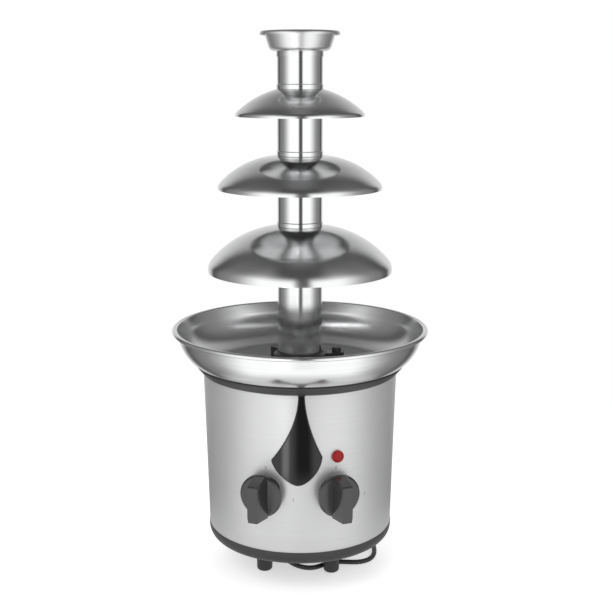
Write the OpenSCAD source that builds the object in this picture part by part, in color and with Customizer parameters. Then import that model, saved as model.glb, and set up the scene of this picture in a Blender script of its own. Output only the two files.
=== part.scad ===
// Chocolate fountain with three domed tiers and a crown cup on a screw-fed tower.
// Millimetres, +Z up, -Y is the front with the two knobs. The origin is on the table under the middle.

/* [Feet] */
// Diameter of each foot
foot_d = 15.4; // [12:0.2:20]
// Height of each foot, from the table to the base tray
foot_h = 30.6; // [24:0.2:40]
// Centre distance of the feet, in a square
foot_pitch = 63.6; // [50:0.2:100]
// Turn of the square of feet against the front
foot_turn = -3.5; // [-6:0.5:6]

/* [Base tray] */
// Diameter of the tray's underside
tray_bottom_d = 164; // [150:0.5:170]
// Height of the tray's rim
tray_h = 9.4; // [7:0.2:14]
// Thickness of the tray's floor
tray_floor_t = 2.6; // [2:0.1:4]
// Length of the cooling slots in the tray's floor
slot_l = 16; // [8:0.5:20]

/* [Housing] */
// Outer diameter of the housing at its lower edge
housing_bottom_d = 174.2; // [168:0.2:178]
// Outer diameter of the housing at its upper edge
housing_top_d = 181.8; // [178:0.2:186]
// Height of the housing's sheet
housing_h = 150.3; // [140:0.5:180]
// Thickness of the housing's sheet
shell_t = 1.2; // [0.8:0.1:2]

/* [Top ring] */
// Diameter of the ring's upper edge
ring_d = 195.2; // [190:0.2:200]

/* [Bowl] */
// Diameter over the rolled lip
bowl_d = 239; // [232:0.5:250]
// Thickness of the bowl's sheet
bowl_t = 1.5; // [1:0.1:2.5]
// Width of the bowl's curve that stands over the ring
bowl_seat_w = 23.2; // [18:0.2:26]
// Radius of the rolled bead on the lip
bowl_bead_r = 2.1; // [1.6:0.1:3]

/* [Tower tubes] */
// Outer diameter of the tubes
tube_d = 41.4; // [38:0.2:46]
// Wall of the tubes
tube_t = 1.2; // [0.8:0.1:1.6]
// Diameter of the collar at the foot of each tube
collar_d = 42.4; // [41.8:0.1:47]
// Height of the collar
collar_h = 4.5; // [3:0.1:8]
// Length of the spigot that stands up into the next tube
spigot_h = 8; // [5:0.5:12]
// Wall of the spigot
spigot_t = 1.1; // [0.8:0.1:1.6]
// Length of the lower tube
base_tube_h = 121.3; // [100:0.5:150]
// Length of the middle tube
middle_tube_h = 63.4; // [55:0.2:80]
// Length of the upper tube
upper_tube_h = 58.5; // [50:0.2:75]
// Length of the crown tube
crown_tube_h = 34.4; // [28:0.2:50]

/* [Tiers] */
// Thickness of the spun tiers
tier_t = 1; // [0.8:0.1:1.6]
// Height of the neck that holds a tier upright on its tube
neck_h = 6; // [4:0.5:10]
// Diameter of the large tier
large_tier_d = 170.4; // [160:0.5:178]
// Drop of the large tier from the tube to the middle of its edge curve
large_tier_drop = 38.5; // [34:0.5:46]
// Edge curve radius of the large tier
large_edge_r = 7.8; // [5:0.2:10]
// Slope of the large tier where its edge curve starts, from vertical
large_slope = 38; // [34:1:44]
// Diameter of the medium tier
medium_tier_d = 150.2; // [140:0.5:156]
// Drop of the medium tier
medium_tier_drop = 28.3; // [24:0.5:34]
// Edge curve radius of the medium tier
medium_edge_r = 4.1; // [3:0.1:7]
// Slope of the medium tier where its edge curve starts, from vertical
medium_slope = 41; // [36:1:48]
// Diameter of the small tier
small_tier_d = 117; // [108:0.5:124]
// Drop of the small tier
small_tier_drop = 22.8; // [19:0.5:28]
// Edge curve radius of the small tier
small_edge_r = 2.9; // [2:0.1:5]
// Slope of the small tier where its edge curve starts, from vertical
small_slope = 46; // [40:1:54]
// Angle that the edge curve turns in below its widest place
edge_tuck = 24; // [10:1:40]

/* [Crown cup] */
// Diameter over the cup's lip
cup_d = 71.8; // [68:0.2:80]
// Height of the cup over its floor
cup_h = 16.6; // [14:0.2:24]
// Thickness of the cup's sheet
cup_t = 1; // [0.8:0.1:1.6]

/* [Auger] */
// Running gap between the screw and the spigots
auger_gap = 0.9; // [0.5:0.1:1.5]
// Rise of the screw in one turn
auger_pitch = 26; // [20:0.5:34]
// Diameter of the screw's core
auger_core_d = 13; // [10:0.5:16]
// Thickness of the flight at the core
flight_root_t = 3; // [2:0.1:4]
// Thickness of the flight at its edge
flight_tip_t = 1.6; // [1:0.1:2.5]
// Facets of the flight in one turn
flight_steps = 24; // [16:1:32]

/* [Tower seat and drive] */
// Height of the seat's arms over the bowl's floor
seat_h = 10.7; // [8:0.1:14]
// Distance of the locating posts from the middle
post_r = 35; // [33:0.5:38]
// Diameter of the locating posts
post_d = 8.7; // [7:0.1:9.5]
// Height of the tall post over the seat's arms
post_h = 6.2; // [4:0.2:9]
// Height of the two low posts over the seat's arms
low_post_h = 2; // [1.6:0.1:4]
// Angle of the first post, from +X
post_angle = 8; // [0:1:20]
// Diameter of the drive shaft
shaft_d = 8; // [6:0.5:9]
// Width across the flats of the hexagonal drive head
drive_af = 12; // [11:0.2:12.6]
// Height of the drive head
drive_h = 14; // [10:0.5:18]

/* [Heater] */
// Radius of the heating element's ring
element_r = 50.5; // [49:0.5:52]
// Diameter of the element's sheath
element_d = 6.6; // [5:0.2:7]
// Angle left open between the element's ends
element_gap = 70; // [60:1:90]
// Thickness of the spreader plate
spreader_t = 2; // [1.5:0.1:3]

/* [Motor] */
// Diameter of the gearbox
gearbox_d = 54; // [48:0.5:57]
// Height of the gearbox
gearbox_h = 22; // [18:0.5:28]
// Diameter of the motor
motor_d = 36; // [30:0.5:42]
// Height of the motor
motor_h = 44; // [36:0.5:56]
// Thickness of the motor bracket
bracket_t = 2; // [1.5:0.1:3]
// Distance from the bowl's underside to the bracket
bracket_drop = 21.6; // [21:0.2:28]

/* [Controls] */
// Angle of each knob from the front
knob_angle = 20.5; // [18:0.5:26]
// Height of the knobs' axes over the table
knob_z = 98.7; // [80:0.5:110]
// Diameter of the knob's disc
knob_d = 39; // [34:0.5:41]
// Thickness of the knob's disc
knob_disc_t = 5.9; // [5:0.1:8]
// Gap between the housing and the knob's disc
knob_gap = 6.4; // [5.6:0.1:8]
// Height of the grip over the disc
grip_h = 17.7; // [12:0.2:22]
// Width of the grip along its front
grip_w = 9.4; // [7:0.2:12]
// Diameter of the switch spindles
spindle_d = 6; // [5:0.1:6.4]
// Width of the switch bodies
switch_w = 22; // [18:0.5:24]
// Depth of the switch bodies
switch_depth = 15; // [12:0.5:20]
// Angle of the pilot lamp from the front
lamp_angle = 21.7; // [18:0.1:26]
// Height of the pilot lamp over the table
lamp_z = 132.4; // [128:0.2:150]
// Diameter of the lamp's lens
lens_d = 11; // [10:0.2:14]

/* [Drop panel] */
// Thickness of the black panel that hangs down the front
panel_t = 1.3; // [0.8:0.1:2]
// Height of the panel's lowest point over the table
panel_tip_z = 106.6; // [104:0.2:112]
// Reach of the panel's left corner
panel_left = 25.5; // [20:0.5:26]
// Reach of the panel's right corner
panel_right = 19.9; // [16:0.1:21]

/* [Cord] */
// Diameter of the mains lead
cord_d = 4.6; // [4.4:0.1:5.2]
// Turns in the stored coil, ending half a turn on
coil_turns = 5.5; // [3.5:1:7.5]
// Radius of the coil's outer turn, to the middle of the lead
coil_r = 34.5; // [33:0.5:40]

/* [Hidden] */

$fn = 96;

// Clearances
fit_gap = 0.05;   // round running fits
seat_gap = 0.3;   // loose seats
spigot_gap = 0.1; // spigot in the bore of the next tube
neck_gap = 0.15;  // tier neck round its tube

// Colours
steel = [0.78, 0.79, 0.8];
dark_plastic = [0.2, 0.2, 0.21];
brass = [0.78, 0.65, 0.35];
zinc = [0.66, 0.67, 0.68];

// Levels, from the table up
z_tray = foot_h;
z_housing = z_tray + tray_h;
z_ring = z_housing + housing_h;
ring_under = 1.3;                       // how far the bowl's floor lies over the ring's underside
z_bowl = z_ring + ring_under;
z_floor = z_bowl + bowl_t;
z_seat = z_floor + seat_h;
z_large = z_seat + base_tube_h + tier_t;
z_medium = z_large + middle_tube_h + tier_t;
z_small = z_medium + upper_tube_h + tier_t;
z_cup = z_small + crown_tube_h;         // top of the cup's floor
z_bracket = z_bowl - bracket_drop;      // top face of the motor bracket
z_motor = z_bracket - bracket_t - gearbox_h;

// Radii of the tower
tube_r = tube_d / 2;
bore_r = tube_r - tube_t;
spigot_r = bore_r - spigot_gap;
spigot_bore_r = spigot_r - spigot_t;
collar_r = collar_d / 2;
auger_r = spigot_bore_r - auger_gap;
core_r = auger_core_d / 2;
foot_flange_r = tube_r + 4;
flange_t = 2;
ear_r = post_d / 2 + 2.6;
post_gap = 0.25;
shaft_r = shaft_d / 2;
post_angles = [for (i = [0:2]) post_angle + 120 * i];

// Bowl
bowl_flat_r = ring_d / 2 - bowl_seat_w;                           // edge of the flat floor
bowl_curve_r = bowl_d / 2 - 2 * bowl_bead_r - 2.5 - bowl_flat_r;  // outside radius of the curve up to the wall
ring_h = ring_under - 0.5 + bowl_curve_r - sqrt(pow(bowl_curve_r, 2) - pow(bowl_seat_w, 2));
bowl_arc_z = z_bowl + bowl_curve_r;

// Seat and drive
sleeve_h = 10.2;
sleeve_r = shaft_r + 5;
bush_r = shaft_r + 2.2;
tail_r = sleeve_r + 0.8;
tail_drop = 9.5;
bush_l = 20;
seal_h = 3.4;
seal_r = sleeve_r - 1.4;
gasket_t = 1;
z_sleeve = z_seat + sleeve_h;
z_drive = z_sleeve + 2.2;
z_drive_top = z_drive + drive_h;
pin_d = 2;
skirt_bore_r = sleeve_r + 0.6;
skirt_r = skirt_bore_r + 1.6;
z_auger = z_seat + 0.8;
z_skirt = z_drive_top + 2;
z_auger_top = z_cup - 3;

// Housing
function shell_r(z) = (housing_bottom_d + (housing_top_d - housing_bottom_d) * (z - z_housing) / housing_h) / 2;
rod_r = 67;
rod_d = 4;
rod_angles = [30, 150, 270];
rib_h = 5;
rib_t = 1.4;

// Controls
bushing_r = spindle_d / 2 + 1.8;
nut_af = 14;
nut_t = 2.4;
knob_wall = 1.8;
hub_r = spindle_d / 2 + 2.4;
grip_base_w = grip_w + 5;
function panel_e(z, half) = sqrt(pow(min(shell_r(z - half), shell_r(z + half)) - shell_t, 2) - half * half);
function outer_e(z, half) = max(shell_r(z - half), shell_r(z + half));
lamp_r = lens_d / 2 - 1.2;
function flat_side(d) = d * 0.28;       // distance of the D flat from the spindle's axis

// Arc of n steps about (cx, cz) as a list of points
function arc(cx, cz, r, a0, a1, n) =
    [for (i = [0:n]) let (a = a0 + (a1 - a0) * i / n) [cx + r * cos(a), cz + r * sin(a)]];

// The left-hand normal of each point of a path
function unit(v) = v / norm(v);
function left(v) = [-v[1], v[0]];
function normals(p) = [for (i = [0:len(p) - 1])
    let (a = left(unit(p[max(i, 1)] - p[max(i, 1) - 1])),
         b = left(unit(p[min(i, len(p) - 2) + 1] - p[min(i, len(p) - 2)])), m = unit(a + b))
    m / (m * a)];

// A path thickened to one side, as the outline of a sheet
function sheet(p, t) = let (n = normals(p), k = len(p))
    concat(p, [for (i = [k - 1:-1:0]) p[i] + n[i] * t]);

// Puts a shape made along +Z on the housing, its axis level and pointing out at an angle from the front
module on_panel(angle, z, e) {
    translate([0, 0, z]) rotate([90, 0, angle]) translate([0, 0, e]) children();
}

module round_at(angles, r) {
    for (a = angles) rotate([0, 0, a]) translate([r, 0, 0]) children();
}

module tube(r, inner, h) {
    difference() {
        cylinder(r = r, h = h);
        translate([0, 0, -1]) cylinder(r = inner, h = h + 2);
    }
}

module hex(af, h) {
    cylinder(r = af / sqrt(3), h = h, $fn = 6);
}

module rounded_plate(w, d, h, r) {
    linear_extrude(height = h) union() {
        square([w - 2 * r, d], center = true);
        square([w, d - 2 * r], center = true);
        for (x = [-1, 1], y = [-1, 1]) translate([x * (w / 2 - r), y * (d / 2 - r)]) circle(r = r, $fn = 48);
    }
}

// Pan-head screw, head at z = 0 pointing down, thread up
module pan_screw(d, l) {
    rotate_extrude() polygon([[0, 0], [d * 0.7, 0], [d * 0.95, d * 0.25], [d * 0.95, d * 0.6],
        [d / 2, d * 0.6], [d / 2, l + d * 0.6 - 0.5], [d / 2 - 0.5, l + d * 0.6], [0, l + d * 0.6]]);
}

foot_at = foot_pitch / 2;
foot_screw_d = 3.5;
foot_recess_d = foot_screw_d * 1.9 + 0.5;
foot_recess_h = 12;
boss_h = 6;

module at_feet() {
    rotate([0, 0, foot_turn]) for (x = [-1, 1], y = [-1, 1]) translate([x * foot_at, y * foot_at, 0]) children();
}

// Feet: posts with a rounded sole, each hollow below for its screw
module feet() {
    color(dark_plastic) at_feet() rotate_extrude() polygon(concat(
        [[foot_recess_d / 2, 0]],
        arc(foot_d / 2 - 3.2, 2.9, 2.9, -90, 0, 10),
        [[foot_d / 2, foot_h - 3], [foot_d / 2, foot_h],
         [foot_screw_d / 2 + fit_gap, foot_h], [foot_screw_d / 2 + fit_gap, foot_recess_h],
         [foot_recess_d / 2, foot_recess_h]]));
}

module foot_screws() {
    color(zinc) at_feet() translate([0, 0, foot_recess_h - foot_screw_d * 0.6])
        pan_screw(foot_screw_d, foot_h - foot_recess_h + tray_floor_t + boss_h - 1.5);
}

// Place and direction of the lead where it leaves the underside
cord_exit = [-20, -22, 15.2];
exit_heading = -50;
exit_dip = 30;
relief_l = 22;
relief_root_r = 5.2;
relief_tip_r = cord_d / 2 + 0.9;

// Puts a shape made along +X on the lead's way out, with x = 0 at the relief's tip
module on_exit() {
    translate(cord_exit) rotate([0, 0, exit_heading]) rotate([0, exit_dip, 0]) children();
}

nozzle_r = relief_root_r + 2;

// Base tray: a moulded pan with a rib inside the housing, bosses, slots and the lead's outlet
module base_tray() {
    r0 = tray_bottom_d / 2;
    r1 = housing_bottom_d / 2;
    inner = shell_r(z_housing) - shell_t - seat_gap;
    color(dark_plastic) difference() {
        union() {
            rotate_extrude() polygon(concat(
                [[0, z_tray]],
                arc(r0 - 2, z_tray + 2, 2, -90, -35, 5),
                [[r1, z_housing - 1.5], [r1, z_housing], [inner, z_housing], [inner, z_housing + rib_h],
                 [inner - rib_t, z_housing + rib_h], [inner - rib_t, z_housing - 0.5],
                 [r0 - 1.4, z_tray + tray_floor_t], [0, z_tray + tray_floor_t]]));
            at_feet() translate([0, 0, z_tray]) cylinder(r = foot_screw_d / 2 + 2.5, h = tray_floor_t + boss_h);
            for (x = [-1, 1]) translate([x * 14, 18, z_tray]) cylinder(r = 3.5, h = tray_floor_t + boss_h);
            intersection() {
                on_exit() rotate([0, -90, 0]) translate([0, 0, relief_l - 6]) cylinder(r = nozzle_r, h = 30);
                translate([-60, -60, z_tray - 16]) cube([120, 120, 16 + tray_floor_t]);
            }
        }
        on_exit() rotate([0, -90, 0]) translate([0, 0, relief_l - 12]) cylinder(r = relief_root_r + fit_gap, h = 60);
        at_feet() translate([0, 0, z_tray - 1]) cylinder(r = foot_screw_d / 2 - 0.3, h = 1 + tray_floor_t + boss_h - 1);
        round_at(rod_angles, rod_r) translate([0, 0, z_tray - 1]) cylinder(r = rod_d / 2 + seat_gap, h = 20);
        round_at(rod_angles, rod_r) translate([0, 0, z_tray - 1]) cylinder(r = 4.6, h = 1 + 1);
        for (x = [-1, 1]) translate([x * 14, 18, z_tray + 2]) cylinder(r = 1.4, h = 20);
        for (i = [-3:3]) round_at([90 + i * 13], 46) translate([0, 0, z_tray - 1])
            linear_extrude(height = tray_floor_t + 2) union() {
                square([slot_l - 3, 3], center = true);
                for (s = [-1, 1]) translate([s * (slot_l - 3) / 2, 0]) circle(r = 1.5, $fn = 32);
            }
    }
}

// Housing: one rolled sheet, slightly wider at the top, with holes for the controls
module housing_shell() {
    color(steel) difference() {
        rotate_extrude($fn = 180) polygon([
            [shell_r(z_housing) - shell_t, z_housing], [shell_r(z_housing), z_housing],
            [shell_r(z_ring), z_ring], [shell_r(z_ring) - shell_t, z_ring]]);
        for (s = [-1, 1]) on_panel(s * knob_angle, knob_z, shell_r(knob_z) - 6)
            cylinder(r = bushing_r + fit_gap, h = 12);
        on_panel(lamp_angle, lamp_z, shell_r(lamp_z) - 6) cylinder(r = lamp_r + fit_gap, h = 12);
        for (z = panel_pins) on_panel(0, z, shell_r(z) - 6) cylinder(r = panel_pin_d / 2 + fit_gap, h = 12);
    }
}

// Drop panel: an uneven drop shape, hollow-sided above its corners and round below
corner_z = 131.6;
stem_w = 5.9;
stem_x = 1.3;
panel_pin_d = 3;
panel_pins = [panel_tip_z + 12, z_ring - 26];
panel_rows = 12;
// Side from the stem to a corner: width grows slowly, then faster, by a power of the way down
function upper_side(x0, x1, z1, power) = [for (i = [0:panel_rows])
    let (t = i / panel_rows) [x0 + (x1 - x0) * pow(t, power), z_ring + (z1 - z_ring) * t]];
function lower_side(x1, z1, xt, bulge) = [for (i = [1:panel_rows - 1])
    let (t = i / panel_rows) [xt + (x1 - xt) * pow(1 - pow(t, bulge), 1 / bulge),
                              z1 + (panel_tip_z - z1) * t]];
module drop_outline() {
    polygon(concat(
        upper_side(stem_x - stem_w / 2, -panel_left, corner_z - 1.6, 1.95),
        lower_side(-panel_left, corner_z - 1.6, -2, 1.5),
        [[-2, panel_tip_z]],
        [for (i = [panel_rows - 1:-1:1]) lower_side(panel_right, corner_z + 1.7, -2, 1.7)[i - 1]],
        [for (i = [panel_rows:-1:0]) upper_side(stem_x + stem_w / 2, panel_right, corner_z + 1.7, 1.8)[i]]));
}

module drop_panel() {
    color([0.08, 0.08, 0.09]) union() {
        intersection() {
            rotate_extrude($fn = 180) polygon([
                [shell_r(z_housing) + fit_gap, z_housing], [shell_r(z_housing) + panel_t, z_housing],
                [shell_r(z_ring) + panel_t, z_ring], [shell_r(z_ring) + fit_gap, z_ring]]);
            rotate([90, 0, 0]) linear_extrude(height = 120) drop_outline();
        }
        for (z = panel_pins) on_panel(0, z, shell_r(z) - shell_t - 2)
            cylinder(r = panel_pin_d / 2, h = shell_t + 2.6);
    }
}

// Top ring: a moulded ring between housing and bowl, its inside following the bowl's curve
module top_ring() {
    r1 = ring_d / 2;
    inner = shell_r(z_ring) - shell_t - seat_gap;
    seat = [for (p = arc(bowl_flat_r, bowl_arc_z, bowl_curve_r + fit_gap, -80, -20, 24))
        if (p[1] > z_ring + 1.5 && p[1] < z_ring + ring_h - 0.4 && p[0] < r1 - 0.6) p];
    color(dark_plastic) rotate_extrude($fn = 180) polygon(concat(
        [[seat[0][0], z_ring]],
        [[inner - rib_t, z_ring], [inner - rib_t, z_ring - rib_h], [inner, z_ring - rib_h], [inner, z_ring],
         [shell_r(z_ring) + 0.2, z_ring], [shell_r(z_ring) + 1.6, z_ring + 1.1], [r1 - 1.4, z_ring + ring_h - 3.2],
         [r1 - 0.3, z_ring + ring_h - 1.7], [r1, z_ring + ring_h - 0.7], [r1 - 0.4, z_ring + ring_h]],
        [for (i = [len(seat) - 1:-1:0]) seat[i]]));
}

// Bowl: a spun dish with a flared lip that ends in a rolled bead
flare_r = 1.8;
z_lip = bowl_arc_z + 1.5;
module bowl() {
    wall_r = bowl_flat_r + bowl_curve_r * cos(3);
    bead_r = bowl_d / 2 - bowl_bead_r;
    path = concat([[tail_r + 0.2, z_bowl]],
        arc(bowl_flat_r, bowl_arc_z, bowl_curve_r, -90, -3, 30),
        arc(wall_r + flare_r, z_lip - bowl_t - flare_r, flare_r, 180, 90, 6),
        [[bead_r - 0.6, z_lip - bowl_t]]);
    color(steel) rotate_extrude($fn = 180) union() {
        polygon(sheet(path, bowl_t));
        translate([bead_r, z_lip - bowl_bead_r]) circle(r = bowl_bead_r, $fn = 48);
    }
}

// Tower seat: three arms with locating posts, and a sleeve round the drive shaft
arm_w = 14;
module tower_seat() {
    color(dark_plastic) difference() {
        union() {
            rotate_extrude() polygon([[0, z_bowl - tail_drop], [tail_r - 0.6, z_bowl - tail_drop],
                [tail_r, z_bowl - tail_drop + 0.6], [tail_r, z_floor + gasket_t], [sleeve_r + 4, z_floor + gasket_t],
                [sleeve_r + 4, z_floor + gasket_t + 2.4], [sleeve_r + 3.4, z_floor + gasket_t + 3],
                [sleeve_r, z_floor + gasket_t + 3], [sleeve_r, z_sleeve - 0.4], [sleeve_r - 0.4, z_sleeve],
                [0, z_sleeve]]);
            for (i = [0:2]) let (top = seat_h + (i == 0 ? post_h : low_post_h)) rotate([0, 0, post_angles[i]]) {
                translate([sleeve_r - 1, -2.5, z_floor + gasket_t + 1])
                    cube([post_r - sleeve_r - 4, 5, seat_h - gasket_t - 1]);
                translate([post_r, 0, z_floor]) rotate_extrude() polygon([[0, 0], [arm_w / 2, 0], [arm_w / 2, seat_h],
                    [post_d / 2, seat_h], [post_d / 2, top - 0.7], [post_d / 2 - 0.7, top], [0, top]]);
            }
        }
        translate([0, 0, z_bowl - tail_drop - 1]) cylinder(r = bush_r + fit_gap, h = bush_l + 1);
        translate([0, 0, z_bowl - tail_drop]) cylinder(r = shaft_r + seat_gap, h = 60);
        translate([0, 0, z_sleeve - seal_h]) cylinder(r = seal_r + fit_gap, h = seal_h + 1);
    }
}

module seat_gasket() {
    color([0.55, 0.55, 0.56]) translate([0, 0, z_floor]) tube(sleeve_r + 4, tail_r + fit_gap, gasket_t);
}

module seat_nut() {
    color(brass) translate([0, 0, z_bowl - 5.5]) difference() {
        hex(2 * tail_r + 9, 5.5);
        translate([0, 0, -1]) cylinder(r = tail_r + fit_gap, h = 8);
    }
}

module shaft_bush() {
    color(brass) translate([0, 0, z_bowl - tail_drop]) tube(bush_r, shaft_r + fit_gap, bush_l);
}

module shaft_seal() {
    r = shaft_r + fit_gap;
    color([0.5, 0.16, 0.12]) translate([0, 0, z_sleeve - seal_h]) rotate_extrude() polygon([
        [r + 0.4, 0], [seal_r, 0], [seal_r, seal_h - 0.3], [r + 1.6, seal_h - 0.3], [r, seal_h + 0.9],
        [r, seal_h - 0.4], [r + 0.4, seal_h - 1]]);
}

// Heating: a spreader plate under the bowl and a sheathed element bent to an open ring
spreader_r = element_r + 9.5;
spreader_hole_r = element_r - 9.5;
z_spreader = z_bowl - spreader_t;
element_from = 90 + element_gap / 2;
element_to = 450 - element_gap / 2;
element_leg = 16;                       // length of the turned-down ends
pin_l = 6;                              // terminal pins below them
module heat_spreader() {
    color([0.82, 0.83, 0.84]) difference() {
        translate([0, 0, z_spreader]) tube(spreader_r, spreader_hole_r, spreader_t);
        round_at(rod_angles, rod_r) translate([0, 0, z_spreader - 1]) cylinder(r = 7.5, h = 5);
    }
}

module heating_element() {
    r = element_d / 2;
    color([0.5, 0.5, 0.48]) translate([0, 0, z_spreader - r - fit_gap]) {
        rotate([0, 0, element_from]) rotate_extrude(angle = element_to - element_from, $fn = 120)
            translate([element_r, 0]) circle(r = r, $fn = 32);
        for (a = [element_from, element_to]) rotate([0, 0, a]) translate([element_r, 0, 0]) {
            sphere(r = r, $fn = 32);
            translate([0, 0, -element_leg]) cylinder(r = r, h = element_leg, $fn = 32);
            translate([0, 0, -element_leg - pin_l]) cylinder(r = 1.2, h = pin_l + 1, $fn = 32);
        }
    }
}

module thermostat() {
    color([0.86, 0.84, 0.78]) round_at([90], element_r) {
        translate([0, 0, z_spreader - 3]) cylinder(r = 8, h = 3);
        translate([0, 0, z_spreader - 10]) cylinder(r = 7, h = 7.5);
        for (y = [-1, 1]) translate([-0.4, y * 4 - 2.4, z_spreader - 17]) cube([0.8, 4.8, 8]);
    }
}

module thermal_fuse() {
    color([0.9, 0.9, 0.86]) round_at([90 - 24, ], element_r - 5) translate([0, 0, z_spreader - 2.2 - fit_gap]) {
        rotate([90, 0, 0]) translate([0, 0, -6]) cylinder(r = 2.2, h = 12, $fn = 32);
        rotate([90, 0, 0]) translate([0, 0, -10]) cylinder(r = 0.6, h = 20, $fn = 24);
    }
}

// Tie rods: welded under the bowl, nuts in the tray's recesses
module tie_rods() {
    color(zinc) round_at(rod_angles, rod_r) {
        translate([0, 0, z_bowl - 1.5]) cylinder(r = 5.5, h = 1.5);
        translate([0, 0, z_tray - 2.4]) cylinder(r = rod_d / 2, h = z_bowl - 1 - z_tray + 2.4);
    }
}

module tie_nuts() {
    color(zinc) round_at(rod_angles, rod_r) translate([0, 0, z_tray + 1 - 3.2]) difference() {
        hex(7, 3.2);
        translate([0, 0, -1]) cylinder(r = rod_d / 2 + fit_gap, h = 6);
    }
}

// Motor bracket: a disc with three tabs bent up to the bowl's underside
tab_r = gearbox_d / 2 + 5;
tab_w = 14;
motor_screw_d = 4;
motor_screw_r = 18;
tab_angles = [30, 150, 270];
module motor_bracket() {
    color(zinc) difference() {
        union() {
            translate([0, 0, z_bracket - bracket_t]) cylinder(r = gearbox_d / 2 + 2, h = bracket_t);
            for (a = tab_angles) rotate([0, 0, a]) {
                translate([gearbox_d / 2 - 3, -tab_w / 2, z_bracket - bracket_t])
                    cube([tab_r - gearbox_d / 2 + 3, tab_w, bracket_t]);
                translate([tab_r - bracket_t, -tab_w / 2, z_bracket - bracket_t])
                    cube([bracket_t, tab_w, z_bowl - z_bracket + bracket_t]);
                translate([tab_r - 9, -tab_w / 2, z_bowl - bracket_t]) cube([9, tab_w, bracket_t]);
            }
        }
        translate([0, 0, z_bracket - bracket_t - 1]) cylinder(r = shaft_r + 6 + seat_gap, h = bracket_t + 2);
        round_at([for (a = tab_angles) a + 60], motor_screw_r) translate([0, 0, z_bracket - bracket_t - 1])
            cylinder(r = motor_screw_d / 2 + 0.2, h = bracket_t + 2);
    }
}

module gearbox() {
    color([0.72, 0.72, 0.7]) translate([0, 0, z_motor]) difference() {
        union() {
            cylinder(r = gearbox_d / 2, h = gearbox_h);
            cylinder(r = shaft_r + 6, h = gearbox_h + bracket_t + 1.5);
            translate([0, 0, 3]) cylinder(r = gearbox_d / 2 + 1, h = 2);
        }
        translate([0, 0, 4]) cylinder(r = shaft_r + fit_gap, h = 60);
        round_at([for (a = tab_angles) a + 60], motor_screw_r) translate([0, 0, gearbox_h - 8])
            cylinder(r = motor_screw_d / 2 + fit_gap, h = 9);
    }
}

module gear_motor() {
    color([0.6, 0.61, 0.62]) translate([0, 0, z_motor - motor_h]) {
        rotate_extrude() polygon([[0, -3], [5, -3], [5, 0], [motor_d / 2 - 2, 0], [motor_d / 2, 2],
            [motor_d / 2, motor_h], [0, motor_h]]);
        for (x = [-1, 1]) translate([x * 10 - 2.4, -0.4, -6]) cube([4.8, 0.8, 7]);
    }
}

motor_screw_grip = 6.5;                 // how far the screws go into the gearbox
module motor_screws() {
    color(zinc) round_at([for (a = tab_angles) a + 60], motor_screw_r) translate([0, 0, z_bracket + motor_screw_d * 0.6])
        rotate([180, 0, 0]) pan_screw(motor_screw_d, bracket_t + motor_screw_grip);
}

// Rotary switch behind the panel, its threaded bushing through the sheet
module rotary_switch() {
    front = panel_e(knob_z, switch_w / 2) - seat_gap;
    bushing_out = nut_e + nut_t + 0.5;
    difference() {
        union() {
            translate([0, 0, front - switch_depth]) rounded_plate(switch_w, switch_w, switch_depth, 2);
            translate([0, 0, front - 1]) cylinder(r = bushing_r, h = bushing_out - front + 1);
            for (x = [-1, 0, 1]) translate([x * 6 - 2.4, -0.4, front - switch_depth - 7]) cube([4.8, 0.8, 8]);
        }
        translate([0, 0, front - switch_depth + 4]) cylinder(r = spindle_d / 2 + fit_gap, h = 40);
    }
}

module motor_switch() {
    color([0.85, 0.83, 0.78]) on_panel(-knob_angle, knob_z, 0) rotary_switch();
}

module heat_switch() {
    color([0.85, 0.83, 0.78]) on_panel(knob_angle, knob_z, 0) rotary_switch();
}

// the nut stands clear of the leaning sheet at its corners
nut_e = outer_e(knob_z, nut_af * 0.58) + fit_gap;
module switch_nuts() {
    color(zinc) for (s = [-1, 1]) on_panel(s * knob_angle, knob_z, nut_e) difference() {
        hex(nut_af, nut_t);
        translate([0, 0, -1]) cylinder(r = bushing_r + fit_gap, h = nut_t + 2);
    }
}

// Spindle with a flat, turning in the switch and carrying the knob
knob_back = shell_r(knob_z) + knob_gap;
knob_face = knob_back + knob_disc_t;
module spindle() {
    start = panel_e(knob_z, switch_w / 2) - seat_gap - switch_depth + 4.3;
    top = knob_face + 6;
    difference() {
        translate([0, 0, start]) cylinder(r = spindle_d / 2, h = top - start);
        translate([flat_side(spindle_d), -5, knob_back]) cube([5, 10, 30]);
    }
}

module motor_spindle() {
    color(zinc) on_panel(-knob_angle, knob_z, 0) spindle();
}

module heat_spindle() {
    color(zinc) on_panel(knob_angle, knob_z, 0) spindle();
}

// Grip: a tall bar across the disc, its upper end sloped, its sides flared towards the lower end
ridge_y = 13.8;
grip_low = -17.3;
grip_foot = -18.6;
flare_y = -9;
grip_flare = 4;
module grip() {
    f = grip_w / 2;
    b = grip_base_w / 2;
    top = grip_h + 0.4;
    rows = [
        [18.4, 18.8, b - 0.6, f + 0.2, 0.8],
        [ridge_y + 1.2, ridge_y + 1.2, b, f, top - 1.4],
        [ridge_y, ridge_y, b, f, top],
        [flare_y + 4, flare_y + 4, b, f, top],
        [flare_y, flare_y, b + 0.4, f, top],
        [grip_foot + 4, grip_low + 4, b + grip_flare * 0.75, f, top],
        [grip_foot, grip_low, b + grip_flare, f - 0.6, top - 0.8]];
    n = len(rows);
    points = [for (row = rows) each [[-row[2], row[0], 0], [row[2], row[0], 0],
        [row[3], row[1], row[4]], [-row[3], row[1], row[4]]]];
    sides = [for (i = [0:n - 2], j = [0:3]) let (a = 4 * i + j, b2 = 4 * i + (j + 1) % 4)
        each [[a, a + 4, b2], [b2, a + 4, b2 + 4]]];
    polyhedron(points = points, faces = concat(sides,
        [[0, 1, 2], [0, 2, 3]], [[4 * n - 4, 4 * n - 2, 4 * n - 3], [4 * n - 4, 4 * n - 1, 4 * n - 2]]));
}

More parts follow.
